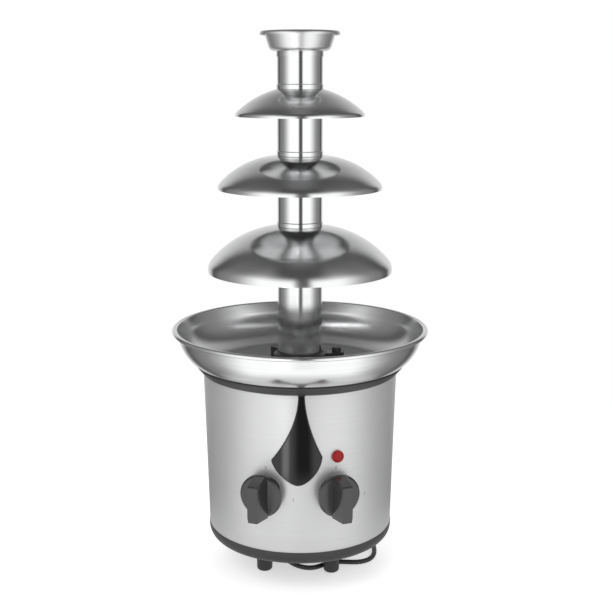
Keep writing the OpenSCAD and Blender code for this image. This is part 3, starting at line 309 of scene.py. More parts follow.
def spun_marks():
    """Marks of turned and spun metal: noise read at (radius, height), nearly even round the axis, as height and
    shade."""
    tree, gin, gout = group("spun marks", [("Fineness", 900.0), ("Waviness", 9.0)],
                            [("Height", "NodeSocketFloat"), ("Shade", "NodeSocketFloat")])
    x, y, z = split(tree)
    line = tree.nodes.new("ShaderNodeCombineXYZ")
    tree.links.new(times(tree, from_axis(tree, x, y), gin.outputs["Fineness"]), line.inputs[0])
    tree.links.new(times(tree, z, gin.outputs["Fineness"]), line.inputs[1])
    tree.links.new(times(tree, maths(tree, "ARCTAN2", y, x), 0.6), line.inputs[2])
    fine = noise(tree, line.outputs[0], 1.0, 4.0, 0.6)
    broad = noise(tree, coordinates(tree), gin.outputs["Waviness"], 2.0)
    tree.links.new(plus(tree, times(tree, fine, 0.25), broad), gout.inputs["Height"])
    tree.links.new(fine, gout.inputs["Shade"])
    return tree


def handling():
    """Faint smears from hands and cloths: broad noise pushed to its ends, from Low to High."""
    tree, gin, gout = group("handling", [("Size", 14.0), ("Low", 0.05), ("High", 0.12)],
                            [("Value", "NodeSocketFloat")])
    a = noise(tree, coordinates(tree), gin.outputs["Size"], 5.0, 0.6)
    b = noise(tree, coordinates(tree), times(tree, gin.outputs["Size"], 7.0), 3.0, 0.6)
    mix = plus(tree, times(tree, a, 0.75), times(tree, b, 0.25))
    tree.links.new(remap(tree, mix, 0.38, 0.66, gin.outputs["Low"], gin.outputs["High"], True), gout.inputs["Value"])
    return tree


def moulded_skin():
    """Skin of moulded plastic: fine pebbles from noise at Grain, with a slower change of shade."""
    tree, gin, gout = group("moulded skin", [("Grain", 2600.0), ("Patches", 30.0)],
                            [("Height", "NodeSocketFloat"), ("Shade", "NodeSocketFloat")])
    pebble = noise(tree, coordinates(tree), gin.outputs["Grain"], 2.0, 0.6)
    slow = noise(tree, coordinates(tree), gin.outputs["Patches"], 4.0, 0.55)
    tree.links.new(pebble, gout.inputs["Height"])
    tree.links.new(plus(tree, times(tree, slow, 0.7), times(tree, pebble, 0.3)), gout.inputs["Shade"])
    return tree


def shade_between():
    """A colour between Dark and Light greys by Value, redder and less blue by Warmth."""
    tree, gin, gout = group("shade between", [("Value", 0.5), ("Dark", 0.5), ("Light", 0.9), ("Warmth", 0.0)],
                            [("Color", "NodeSocketColor")])
    g = remap(tree, gin.outputs["Value"], 0.3, 0.7, gin.outputs["Dark"], gin.outputs["Light"])
    c = tree.nodes.new("ShaderNodeCombineColor")
    warm = plus(tree, 1.0, gin.outputs["Warmth"])
    cool = maths(tree, "SUBTRACT", 1.0, gin.outputs["Warmth"])
    tree.links.new(times(tree, g, warm), c.inputs[0])
    tree.links.new(g, c.inputs[1])
    tree.links.new(times(tree, g, cool), c.inputs[2])
    tree.links.new(c.outputs[0], gout.inputs["Color"])
    return tree


SPUN, HANDLING, SKIN, SHADE = spun_marks(), handling(), moulded_skin(), shade_between()


def use(mat, tree, **values):
    """Places a node group in a material, with its inputs set to numbers or joined to sockets."""
    n = mat.node_tree.nodes.new("ShaderNodeGroup")
    n.node_tree = tree
    for label, v in values.items():
        if isinstance(v, (int, float)):
            n.inputs[label].default_value = v
        else:
            mat.node_tree.links.new(v, n.inputs[label])
    return n


def material(name, metallic=0.0, roughness=0.5, **sockets):
    """A material with its Principled shader, constants set on the shader's own sockets."""
    mat = bpy.data.materials.new(name)
    mat.use_nodes = True
    shader = mat.node_tree.nodes["Principled BSDF"]
    shader.inputs["Metallic"].default_value = metallic
    shader.inputs["Roughness"].default_value = roughness
    for label, v in sockets.items():
        shader.inputs[label.replace("_", " ")].default_value = v
    return mat, shader


def bump(mat, shader, height, strength, distance):
    """A Bump node from a height to the shader's normal."""
    n = mat.node_tree.nodes.new("ShaderNodeBump")
    n.inputs["Strength"].default_value = strength
    n.inputs["Distance"].default_value = distance
    mat.node_tree.links.new(height, n.inputs["Height"])
    mat.node_tree.links.new(n.outputs["Normal"], shader.inputs["Normal"])


def metal(name, dark, light, rough, fineness, waviness, warmth, depth, strength, share=1.0):
    """Turned, spun or rolled metal: grey between two values, smears in its roughness, fine marks in its normal. Its
    share is how far the shader is metallic."""
    mat, shader = material(name, share, rough[0])
    marks = use(mat, SPUN, Fineness=fineness, Waviness=waviness)
    colour = use(mat, SHADE, Value=marks.outputs["Shade"], Dark=dark, Light=light, Warmth=warmth)
    smear = use(mat, HANDLING, Size=16.0, Low=rough[0], High=rough[1])
    mat.node_tree.links.new(colour.outputs[0], shader.inputs["Base Color"])
    mat.node_tree.links.new(smear.outputs[0], shader.inputs["Roughness"])
    bump(mat, shader, marks.outputs["Height"], strength, depth)
    return mat


def plastic(name, dark, light, rough, grain=2600.0, warmth=0.0, depth=0.00003, strength=0.35, tint=None,
            **sockets):
    """Moulded plastic or rubber: a colour that varies between two values, with a pebbled skin."""
    mat, shader = material(name, 0.0, rough[0], **sockets)
    skin = use(mat, SKIN, Grain=grain, Patches=30.0)
    colour = use(mat, SHADE, Value=skin.outputs["Shade"], Dark=dark, Light=light, Warmth=warmth)
    out = colour.outputs[0]
    if tint:
        mix = mat.node_tree.nodes.new("ShaderNodeMix")
        mix.data_type, mix.blend_type = "RGBA", "MULTIPLY"
        mix.inputs["Factor"].default_value = 1.0
        mat.node_tree.links.new(out, mix.inputs["A"])
        mix.inputs["B"].default_value = (*tint, 1)
        out = mix.outputs["Result"]
    smear = use(mat, HANDLING, Size=30.0, Low=rough[0], High=rough[1])
    mat.node_tree.links.new(out, shader.inputs["Base Color"])
    mat.node_tree.links.new(smear.outputs[0], shader.inputs["Roughness"])
    bump(mat, shader, skin.outputs["Height"], strength, depth)
    return mat


# name, darkest and lightest grey, least and most roughness, fineness and waviness of the marks, warmth, their depth
# in metres, their strength, and the metallic share where it isn't 1
MIRROR = metal("mirror steel", 0.80, 0.84, (0.055, 0.085), 1400.0, 7.0, -0.004, 0.000004, 0.08)
DRAWN = metal("drawn tube steel", 0.79, 0.83, (0.15, 0.17), 600.0, 7.0, -0.004, 0.000002, 0.03)
DOME = metal("spun dome steel", 0.77, 0.82, (0.135, 0.175), 1500.0, 8.0, -0.004, 0.000004, 0.10)
BOWL = metal("bowl steel", 0.78, 0.83, (0.185, 0.21), 700.0, 6.0, -0.004, 0.000004, 0.05)
CUP = metal("spun cup steel", 0.76, 0.82, (0.32, 0.37), 1500.0, 8.0, -0.004, 0.000004, 0.10)
SATIN = metal("satin housing steel", 0.66, 0.69, (0.42, 0.46), 700.0, 5.0, -0.003, 0.000004, 0.06, 0.66)
BLACKED = metal("blackened steel", 0.045, 0.065, (0.30, 0.40), 900.0, 30.0, 0.0, 0.00001, 0.2, 0.6)
ZINC = metal("zinc plate", 0.58, 0.68, (0.26, 0.38), 1500.0, 40.0, 0.012, 0.00001, 0.3)
BRASS = metal("turned brass", 0.58, 0.70, (0.18, 0.30), 2200.0, 30.0, 0.26, 0.00001, 0.3)
ALUMINIUM = metal("cast aluminium", 0.62, 0.76, (0.38, 0.52), 300.0, 400.0, 0.0, 0.00004, 0.4)
SHEATH = metal("oxidised sheath", 0.24, 0.36, (0.40, 0.55), 700.0, 120.0, 0.05, 0.00002, 0.4)
# name, darkest and lightest grey, least and most roughness, fineness of the pebbles, warmth, depth, strength, tint
BLACK = plastic("dark moulded plastic", 0.036, 0.048, (0.40, 0.50))
KNOB = plastic("knob plastic", 0.025, 0.030, (0.20, 0.24), 3200.0, 0.0, 0.000004, 0.15,
               Coat_Weight=0.6, Coat_Roughness=0.1)
GLOSS = plastic("gloss black panel", 0.0035, 0.0050, (0.05, 0.09), 900.0, 0.0, 0.000005, 0.03)
RUBBER = plastic("lead sheath", 0.035, 0.050, (0.42, 0.56), 5200.0, 0.0, 0.00003, 0.4)
SILICONE = plastic("silicone", 0.40, 0.48, (0.45, 0.60), 2400.0)
CREAM = plastic("cream plastic", 0.70, 0.80, (0.42, 0.52), 2400.0, 0.035)
WHITE = plastic("food grade plastic", 0.80, 0.88, (0.28, 0.38), 1800.0, 0.012)
PRINT = plastic("printed grey", 0.16, 0.24, (0.45, 0.55), 4000.0)
LENS = plastic("red lens", 0.75, 0.95, (0.16, 0.24), 1400.0, 0.0, 0.00002, 0.15, (0.40, 0.012, 0.012),
               Specular_IOR_Level=0.25)


def dress(obj, mat):
    """Puts one material in every slot of an object."""
    if not obj.material_slots:
        obj.data.materials.append(mat)
    for s in obj.material_slots:
        s.material = mat


def fit(obj, body, slot, mat, *replaced):
    """Gives a new piece its finish and the body it moves with, and hides the nodes it stands for. Its slot is not used.
    """
    dress(obj, mat)
    if replaced:
        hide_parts(*replaced)
    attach(obj, body)
    return obj


# ---------------------------------------------------------------- lead, laid from the underside to a coil behind
route = np.array([
    [-20, -22, 15.2], [-16.5, -26.1, 12.1], [-12.5, -30.2, 9.6], [-7.7, -33.7, 7.7], [-2.2, -36, 6],
    [3.8, -36.6, 4.6], [9.8, -35.2, 3.4], [15.2, -32.2, 2.7], [20, -28.3, 2.4], [24.9, -24.3, 2.3], [30.2, -21.2, 2.3],
    [36.3, -19.7, 2.3], [42.5, -19.7, 2.3], [48.7, -20.2, 2.3], [55, -20.1, 2.3], [60.9, -18.3, 2.3],
    [66, -14.7, 2.3], [69.7, -9.8, 2.3], [71.9, -3.9, 2.3], [73.1, 2.2, 2.3], [73.5, 8.4, 2.3], [73.6, 14.7, 2.3],
    [73.5, 20.9, 2.3], [73.2, 27.2, 2.3], [72.7, 33.4, 2.3], [72, 39.6, 2.3], [71.1, 45.8, 2.3], [69.9, 51.9, 2.3],
    [68.4, 58, 2.3], [66.7, 63.9, 2.3], [64.7, 69.8, 2.3], [62.3, 75.6, 2.3], [59.7, 81.3, 2.3], [56.9, 86.9, 2.3],
    [53.9, 92.4, 2.4], [50.8, 97.8, 2.5], [47.7, 103.2, 2.7], [45, 108.8, 2.8], [43.2, 114.8, 2.9], [42.5, 121, 2.9]])
CORD_D, LANE, HALF_TURNS = 4.6, 5.15, 2.75
COIL_R, COIL_X, COIL_Y, COIL_Z = 34.5, 8, 126, 2.9
TAIL_L, PLUG_Z = 22, 7.4


def coil_points(t):
    """The coil: it spirals in over the first turns and out over the last, one lane a turn, and climbs a lane where
    it turns back."""
    r = COIL_R - LANE * (HALF_TURNS - np.sqrt((t - HALF_TURNS) ** 2 + 0.01) + 0.1)
    s = np.clip((t - HALF_TURNS + 0.25) * 2, 0, 1)
    a = 2 * math.pi * t
    return np.stack([COIL_X + r * np.cos(a), COIL_Y + r * np.sin(a), COIL_Z + LANE * s * s * (3 - 2 * s)], 1)


coil = coil_points(np.arange(133) / 24)
end = coil[-1]
tail = np.array([end + [0, -TAIL_L * 0.3, -0.1], end + [0, -TAIL_L * 0.6, (PLUG_Z - end[2]) * 0.85],
                 [end[0], end[1] - TAIL_L + CORD_D, PLUG_Z], [end[0], end[1] - TAIL_L, PLUG_Z]])
lead_path = np.concatenate([route, coil, tail])


def eased(path, per):
    """A path through the same points with others between, each from the four nearest by the Catmull-Rom cubic."""
    p = np.concatenate([2 * path[:1] - path[1:2], path, 2 * path[-1:] - path[-2:-1]])
    a, b, c, d = p[:-3], p[1:-2], p[2:-1], p[3:]
    out = [0.5 * ((2 * b) + (c - a) * t + (2 * a - 5 * b + 4 * c - d) * t ** 2 + (3 * b - a - 3 * c + d) * t ** 3)
           for t in np.arange(per) / per]
    return np.concatenate([np.stack(out, 1).reshape(-1, 3), path[-1:]])


lead_line = eased(lead_path, 2)
lead = fit(tube_along("mains_lead", lead_line, CORD_D / 2, 14), "base", "cord_rubber", RUBBER,
           "power_cord", "cord_coil")


# ---------------------------------------------------------------- studio: pale floor, lamps, soft cards for the steel
# grey of the cards by the turn away from the camera's side, 1 being half a turn
CARDS = ((0.0, 1.0), (0.28, 1.0), (0.36, 0.70), (0.44, 0.38), (0.53, 0.22), (0.64, 0.17), (0.70, 0.09), (0.745, 0.06),
         (0.79, 0.42), (0.83, 0.62), (1.0, 0.66))
CARD_LIGHT, MIDDLE_Z = 1.22, 0.33  # brightness of the cards, and the height of the tower's middle in metres
UPRIGHT_TURN, UPRIGHT_HALF, UPRIGHT_SOFT = 3.5, 4.0, 14.0  # degrees: the dark upright in front, and its soft edge
STRIP_TURN, STRIP_HALF, STRIP_SOFT = -15.0, 1.5, 5.5  # degrees: the bright strip on the floor
FLOOR_LIFT, NEAR_FLOOR, STRIP_LIGHT = 0.56, 0.72, 2.4  # floor's glow to the camera, its near part and strip mirrored
WORLD_LIGHT = 0.55
VAULT_R, VAULT_Z, FLOOR_HALF = 2600, 330, 4000


def ramp(tree, value, *stops):
    """A Color Ramp through (position, grey) stops."""
    n = tree.nodes.new("ShaderNodeValToRGB")
    for k, (at, grey) in enumerate(stops):
        e = n.color_ramp.elements[k] if k < 2 else n.color_ramp.elements.new(at)
        e.position, e.color = at, (grey, grey, grey, 1)
    tree.links.new(value, n.inputs[0])
    return n.outputs[0]


def beside(tree, turn, middle, half, soft, inside, outside):
    """A value that goes from inside to outside as the turn leaves a middle, between two angles in degrees."""
    away = maths(tree, "ABSOLUTE", maths(tree, "SUBTRACT", turn, math.radians(middle)))
    return remap(tree, away, math.radians(half), math.radians(soft), inside, outside, True)


def studio_tone(tree):
    """Brightness of the studio as the steel mirrors it, by the turn from the camera's side and the angle above the
    tower's middle: white cards left and right of a narrow dark upright, dark flags at both sides, a pale back and a
    dark ceiling. It comes with the turn and the distance from the axis."""
    x, y, z = split(tree)
    flat = from_axis(tree, x, y)
    turn = maths(tree, "ARCTAN2", x, times(tree, y, -1.0))
    rise = times(tree, maths(tree, "ARCTAN2", maths(tree, "SUBTRACT", z, MIDDLE_Z), flat), 180 / math.pi)
    side = maths(tree, "ABSOLUTE", times(tree, turn, 1 / math.pi))
    # the upright leaves the floor near the object as it is, and is darkest far out and on the vault
    depth = times(tree, remap(tree, flat, 0.30, 0.38, 1.0, 0.16, True), remap(tree, flat, 0.85, 1.15, 1.0, 0.5, True))
    upright = beside(tree, turn, UPRIGHT_TURN, UPRIGHT_HALF, UPRIGHT_SOFT, depth, 1.0)
    # the cards end 11 degrees lower in front and behind than they would, and as much higher at the sides
    lean = plus(tree, rise, times(tree, maths(tree, "COSINE", times(tree, turn, 2.0)), 11.0))
    fade = remap(tree, lean, 8.0, 70.0, 1.0, 0.0, True)
    roof = remap(tree, maths(tree, "MAXIMUM", rise, times(tree, side, 110.0)), 72.0, 88.0, 0.09, 0.19, True)
    low = times(tree, times(tree, ramp(tree, side, *CARDS), upright), CARD_LIGHT)
    tone = plus(tree, times(tree, low, fade), times(tree, roof, maths(tree, "SUBTRACT", 1.0, fade)))
    return tone, turn, flat


def glow(name, build):
    """A material that only gives out light, its strength built by a function of the node tree."""
    mat = bpy.data.materials.new(name)
    mat.use_nodes = True
    tree = mat.node_tree
    tree.nodes.clear()
    e, out = tree.nodes.new("ShaderNodeEmission"), tree.nodes.new("ShaderNodeOutputMaterial")
    tree.links.new(build(tree), e.inputs["Strength"])
    tree.links.new(e.outputs[0], out.inputs[0])
    return mat


def card(obj):
    """A stage card: mirrored in the object, and unseen by the camera and by the light on the floor."""
    obj.visible_camera = obj.visible_diffuse = obj.visible_shadow = False
    obj.visible_volume_scatter = False


def floor_material():
    """The floor: pale to the camera near the object and white far out, and the studio's own tone where it's mirrored,
    with a bright strip."""
    mat = bpy.data.materials.new("pale floor")
    mat.use_nodes = True
    tree = mat.node_tree
    shader = tree.nodes["Principled BSDF"]
    shader.inputs["Roughness"].default_value = 0.9
    shader.inputs["Specular IOR Level"].default_value = 0.1
    grain = remap(tree, noise(tree, coordinates(tree), 60.0, 3.0), 0.3, 0.7, 0.80, 0.82)
    colour = tree.nodes.new("ShaderNodeCombineColor")
    for k in range(3):
        tree.links.new(grain, colour.inputs[k])
    tree.links.new(colour.outputs[0], shader.inputs["Base Color"])
    ray = tree.nodes.new("ShaderNodeLightPath")
    shader.inputs["Emission Color"].default_value = (1, 1, 1, 1)
    tree.links.new(times(tree, ray.outputs["Is Camera Ray"], FLOOR_LIFT), shader.inputs["Emission Strength"])
    tone, turn, flat = studio_tone(tree)
    strip = beside(tree, turn, STRIP_TURN, STRIP_HALF, STRIP_SOFT, STRIP_LIGHT, 0.0)
    reach = times(tree, remap(tree, flat, 0.31, 0.38, 0.0, 1.0, True), remap(tree, flat, 0.9, 1.1, 1.0, 0.0, True))
    near = remap(tree, flat, 0.12, 0.23, 1.0, 0.0, True)
    far_tone = plus(tree, tone, times(tree, strip, reach))
    mirrored = plus(tree, times(tree, near, NEAR_FLOOR), times(tree, maths(tree, "SUBTRACT", 1.0, near), far_tone))
    in_gloss, far_white = tree.nodes.new("ShaderNodeEmission"), tree.nodes.new("ShaderNodeEmission")
    tree.links.new(mirrored, in_gloss.inputs["Strength"])
    by_gloss, by_reach = tree.nodes.new("ShaderNodeMixShader"), tree.nodes.new("ShaderNodeMixShader")
    tree.links.new(remap(tree, flat, 0.30, 0.75, 0.0, 1.0, True), by_reach.inputs[0])
    tree.links.new(shader.outputs[0], by_reach.inputs[1])
    tree.links.new(far_white.outputs[0], by_reach.inputs[2])
    tree.links.new(ray.outputs["Is Glossy Ray"], by_gloss.inputs[0])
    tree.links.new(by_reach.outputs[0], by_gloss.inputs[1])
    tree.links.new(in_gloss.outputs[0], by_gloss.inputs[2])
    tree.links.new(by_gloss.outputs[0], tree.nodes["Material Output"].inputs[0])
    return mat


turns, rises = np.linspace(0, 2 * math.pi, 144, endpoint=False), np.radians(np.linspace(-8, 89.9, 60))
vault_r = VAULT_R * np.cos(rises)[:, None]
vault_z = np.broadcast_to((VAULT_Z + VAULT_R * np.sin(rises))[:, None], (60, 144))
vault_points = np.stack([vault_r * np.cos(turns), vault_r * np.sin(turns), vault_z], -1).reshape(-1, 3)
vault = mesh_object("studio_vault", vault_points, grid_faces(60, 144, False, True))
dress(vault, glow("studio vault", lambda tree: studio_tone(tree)[0]))
card(vault)

side_line = np.linspace(-FLOOR_HALF, FLOOR_HALF, 9)
floor_x, floor_y = np.meshgrid(side_line, side_line, indexing="ij")
floor_points = np.stack([floor_x, floor_y, np.full_like(floor_x, -0.05)], -1).reshape(-1, 3)
floor = mesh_object("studio_floor", floor_points, grid_faces(9, 9, False, False)[:, ::-1])
dress(floor, floor_material())

world = bpy.data.worlds.new("studio world")
scene.world = world
world.use_nodes = True
sky = world.node_tree
background = sky.nodes["Background"]
background.inputs["Color"].default_value = (1, 1, 1, 1)
ray = sky.nodes.new("ShaderNodeLightPath")
seen = maths(sky, "MAXIMUM", maths(sky, "MAXIMUM", ray.outputs["Is Camera Ray"], ray.outputs["Is Glossy Ray"]),
             ray.outputs["Is Transmission Ray"])
sky.links.new(remap(sky, seen, 0.0, 1.0, WORLD_LIGHT, 1.0), background.inputs["Strength"])


def lamp(name, place, target, size, power):
    """A square area lamp that lights the object evenly and isn't mirrored in it."""
    data = bpy.data.lights.new(name, "AREA")
    data.shape, data.size, data.energy = "SQUARE", size, power
    obj = bpy.data.objects.new(name, data)
    scene.collection.objects.link(obj)
    obj.location = place
    from_to = np.array(target, float) - np.array(place, float)
    yaw = math.atan2(from_to[1], from_to[0]) - math.pi / 2
    pitch = math.atan2(math.hypot(from_to[0], from_to[1]), -from_to[2])
    obj.rotation_euler = (pitch, 0, yaw)
    obj.visible_glossy = False
    return obj


lamp("key lamp", (-1.1, -1.3, 1.7), (0, 0, 0.2), 1.4, 15)
lamp("fill lamp", (1.4, -1.0, 1.1), (0, 0, 0.2), 1.4, 7)
lamp("back lamp", (0.3, 1.6, 1.5), (0, 0, 0.2), 1.4, 6)


# ---------------------------------------------------------------- polished pieces
EDGE_SPREAD = 0.42  # how far a tier's edge arc blends into its large arc, as a share of the edge arc's radius


def tier_outline(z, d, drop, edge_r, slope):
    """A tier's sheet: a small edge arc that tucks in, then one large arc up to the tube, thickened inward."""
    c, s = math.cos(math.radians(slope)), math.sin(math.radians(slope))
    cx, cz = d / 2 - edge_r, -drop
    tangent = np.array([cx + edge_r * c, cz + edge_r * s])
    u, top = np.array([c, s]), np.array([COLLAR_R + 0.6, 0.0])
    big = -((top - tangent) @ (top - tangent)) / (2 * ((top - tangent) @ u))
    centre = tangent - big * u
    top_a = math.degrees(math.acos((top[0] - centre[0]) / big))
    line = np.concatenate([arc(cx, cz, edge_r, -24, slope, 26), arc(centre[0], centre[1], big, slope, top_a, 90)[1:]])
    line = np.concatenate([softened(line, edge_r * EDGE_SPREAD), [[SPIGOT_R + 0.1, 0]]])
    return sheet_outline(line, SHEET) + [0, z]


def ring_under(z, r0, r1):
    """A short ring round a tube, between two radii, that ends just below a height."""
    return rounded([[r0, z - 6], [r1, z - 6], [r1, z - 0.5], [r0, z - 0.5]], 0.2, 3)


def spigot(h):
    """The top of a tube: its shoulder at a height, the spigot that the next piece sits on, and the bore below it."""
    return [[TUBE_R, h], [SPIGOT_R, h], [SPIGOT_R, h + 7.4], [SPIGOT_R - 0.5, h + 8], [SPIGOT_BORE_R, h + 8],
            [SPIGOT_BORE_R, h - 8], [BORE_R, h - 9]]


def tube_outline(h, z, crown=False):
    """A tube with a collar at its foot and, but for the crown's, a spigot at its top."""
    foot = [[BORE_R, 0], [COLLAR_R - 0.35, 0], [COLLAR_R, 0.35], [COLLAR_R, 4.1], [COLLAR_R - 0.15, 4.4],
            [TUBE_R, 4.7]]
    return np.array(foot + ([[TUBE_R, h], [BORE_R, h]] if crown else spigot(h))) + [0, z]


# tubes: height of the foot, length, and the body each moves with
TUBES = {"middle_tube": (Z_LARGE, 63.4, "middle_tube"), "upper_tube": (Z_MEDIUM, 58.5, "upper_tube"),
         "crown_tube": (Z_SMALL, 34.4, "crown")}
for name, (z, h, body) in TUBES.items():
    outline = rounded(tube_outline(h, z, name == "crown_tube"), 0.22, 4)
    fit(lathe(name + "_polished", outline, 192, 2.5), body, "polished_steel", MIRROR, name)

# tiers: height of the top, diameter, depth of the edge arc's centre, that arc's radius, and the angle at its end
TIERS = {"large_tier": (Z_LARGE, 170.4, 38.5, 7.8, 38), "medium_tier": (Z_MEDIUM, 150.2, 28.3, 4.1, 41),
         "small_tier": (Z_SMALL, 117, 22.8, 2.9, 46)}
for name, (z, d, drop, edge_r, slope) in TIERS.items():
    outline = tier_outline(z, d, drop, edge_r, slope)
    fit(lathe(name + "_polished", outline, 224, 2.0), name, "polished_steel", DOME, name)
    neck = ring_under(z, TUBE_R + 0.15, TUBE_R + 1.15)
    fit(lathe(name + "_neck", neck, 128, 2.0), name, "polished_steel", DOME)

# base tube, with the blackened ring at its foot
BASE_TUBE_H = 121.3
base_line = np.array([[BORE_R, 0.6], [TUBE_R, 0.6]] + spigot(BASE_TUBE_H)) + [0, Z_SEAT]
fit(lathe("base_tube_polished", rounded(base_line, 0.3, 4), 192, 2.5), "tower", "polished_steel", DRAWN, "base_tube")
foot_ring = np.array([[BORE_R + 0.3, 0], [24.7, 0], [24.7, 2.0], [TUBE_R + 2.6, 2.7], [TUBE_R + 0.9, 3.8],
                      [TUBE_R + 0.05, 5.4], [TUBE_R - 0.3, 5.4]]) + [0, Z_SEAT]
fit(lathe("tower_foot_ring", rounded(foot_ring, 0.3, 4), 128, 2.0), "tower", "polished_steel", BLACKED)


def plate(name, outline, z0, z1, width=0.35):
    """A flat plate: an outline of (x, y) points raised from z0 to z1, its edges rounded."""
    n = len(outline)
    pts = np.concatenate([np.c_[outline, np.full(n, z0)], np.c_[outline, np.full(n, z1)]])
    faces = [list(range(n))[::-1], list(range(n, 2 * n))] + [[i, (i + 1) % n, n + (i + 1) % n, n + i] for i in range(n)]
    return bevel(mesh_object(name, pts, faces, 30), width)


# three ears of the tower's foot
EAR_AT, EAR_R = 35, 6.95
ear = np.concatenate([[[22.0, -EAR_R]], arc(EAR_AT, 0, EAR_R, -90, 90, 25), [[22.0, EAR_R]]])
for k, deg in enumerate((8, 128, 248)):
    a = math.radians(deg)
    turn = np.array([[math.cos(a), math.sin(a)], [-math.sin(a), math.cos(a)]])
    fit(plate(f"tower_ear_{k}", ear @ turn, Z_SEAT + 0.02, Z_SEAT + 1.98), "tower", "polished_steel", BLACKED)

# bowl: flat floor, one large curve, a wall that leans out, and a rolled lip
FLAT_R, CURVE_R, CURVE_Z, LEAN, Z_LIP = 74.4, 40.1, 231.7, 17, 231.5
BEAD_AT, BEAD_R = 117.45, 2.05
bowl_floor = dense([[10.0, Z_BOWL], [FLAT_R - 0.5, Z_BOWL]], 3.0, False)
bowl_wall = dense([[113.1, 221.2], [115.95, 230.3]], 0.8, False)
bowl_line = np.concatenate([bowl_floor, arc(FLAT_R, CURVE_Z, CURVE_R, -90, -LEAN, 90), bowl_wall])
fit(lathe("bowl_polished", sheet_outline(bowl_line, SHEET), 256, 2.5), "base", "polished_steel", BOWL, "bowl")
bead = arc(BEAD_AT, Z_LIP - BEAD_R, BEAD_R, 0, 345, 24)
fit(lathe("bowl_bead", bead, 256, 2.0), "base", "polished_steel", BOWL)

# crown cup, its rolled lip and the collar under it
cup_line = np.concatenate([dense([[TUBE_R + 0.05, Z_CUP - 1], [22.8, Z_CUP - 1]], 0.8, False),
                           arc(23.0, Z_CUP + 4.2, 5.2, -90, -18, 24), arc(33.3, 498.4, 1.6, 162, -25, 30)])
fit(lathe("crown_cup_polished", sheet_outline(cup_line, SHEET), 224, 1.2), "crown", "polished_steel", CUP, "crown_cup")
cup_collar = ring_under(Z_CUP, TUBE_R + 0.05, COLLAR_R + 0.2)
fit(lathe("crown_cup_collar", cup_collar, 128, 2.0), "crown", "polished_steel", MIRROR)

# housing: one rolled sheet with its weld line at the back
low_r, top_r = shell_r(Z_HOUSING), shell_r(Z_RING)
shell = rounded([[low_r - SHELL_T, Z_HOUSING], [low_r, Z_HOUSING], [top_r, Z_RING], [top_r - SHELL_T, Z_RING]], 0.35, 4)
fit(lathe("housing_satin", shell, 256, 4.0), "base", "polished_steel", SATIN, "housing_shell")
# weld: 1.1 degrees wide, 0.16 mm high, with faint ripples along it
rows = np.linspace(Z_HOUSING + 0.6, Z_RING - 0.6, 60)
across = np.radians(np.linspace(-0.55, 0.55, 9)) + math.pi / 2
rise = 0.16 * np.cos(np.linspace(-1.45, 1.45, 9))
weld_r = shell_r(rows)[:, None] + rise + 0.012 * np.sin(rows * 5.5)[:, None]
weld = np.stack([weld_r * np.cos(across), weld_r * np.sin(across), np.broadcast_to(rows[:, None], (60, 9))], -1)
weld_line = mesh_object("housing_weld", weld.reshape(-1, 3), grid_faces(60, 9, False, False), 60)
fit(backed(weld_line), "base", "polished_steel", SATIN)

# top ring under the bowl
RING_R, RING_TOP = 97.6, Z_RING + 8.2
inner = top_r - SHELL_T - 0.3
seat = arc(FLAT_R, CURVE_Z, CURVE_R + 0.05, -80, -20, 120)
seat = seat[(seat[:, 1] > Z_RING + 1.8) & (seat[:, 1] < RING_TOP - 0.6)]
ring = np.concatenate([[[seat[0][0], Z_RING], [inner - 1.6, Z_RING], [inner - 1.6, Z_RING - 5], [inner, Z_RING - 5],
                        [inner, Z_RING], [top_r + 0.2, Z_RING], [top_r + 1.6, Z_RING + 1.1],
                        [RING_R - 1.4, RING_TOP - 2.8], [RING_R - 0.3, RING_TOP - 1.5], [RING_R, RING_TOP - 0.6],
                        [RING_R - 0.4, RING_TOP]], seat[::-1]])
fit(lathe("top_ring_moulded", rounded(ring, 0.4, 4), 256, 1.5), "base", "black_plastic", BLACK, "top_ring")

# tray edge: a band that stands a little proud of the sheet and rolls under, by an arc drawn out downward
EDGE_TOP, EDGE_R, ROLL_AT, ROLL_Z, ROLL_DEEP = 42.1, 87.55, 78.9, 38.6, 1.11
roll = arc(ROLL_AT, ROLL_Z, EDGE_R - ROLL_AT, 0, -68, 18)
roll[:, 1] = ROLL_Z + (roll[:, 1] - ROLL_Z) * ROLL_DEEP
tray_edge = np.concatenate([[[84.0, EDGE_TOP], [EDGE_R, EDGE_TOP]], roll, [[80.2, roll[-1, 1]], [80.2, 33.0]]])
fit(lathe("tray_edge", rounded(tray_edge, 0.25, 3), 256, 1.5), "base", "black_plastic", BLACK)


# ---------------------------------------------------------------- feet
def at_foot(x, y):
    """Moves a turned foot to its corner of the square, which is turned a little about the axis."""
    c, s = math.cos(FOOT_TURN), math.sin(FOOT_TURN)
    return lambda p: p + [x * c - y * s, x * s + y * c, 0]


foot = np.concatenate([[[3.575, 0]], arc(4.5, 2.9, 2.9, -90, 0, 12),
                       [[7.7, 27.6], [7.7, 30.6], [1.8, 30.6], [1.8, 12], [3.575, 12]]])
for k, (sx, sy) in enumerate(((-1, -1), (1, -1), (1, 1), (-1, 1))):
    made = lathe(f"foot_{k}", rounded(foot, 0.3, 3), 64, 1.5, at_foot(sx * FOOT_AT, sy * FOOT_AT))
    fit(made, "base", "black_plastic", BLACK, *(["feet"] if k == 0 else []))


# ---------------------------------------------------------------- drop panel
TIP_Z, LEFT_Z, RIGHT_Z = 106.6, 130.0, 133.3  # heights of its tip and of its left and right corners
TIP_X, LEFT_X, RIGHT_X = -2, -25.5, 19.9
TOP_LEFT_X, TOP_RIGHT_X = -1.65, 4.25  # its reach where it meets the top ring
PANEL_ROUND, PANEL_RISE = 0.9, 1.25  # width and height of its rounded edge


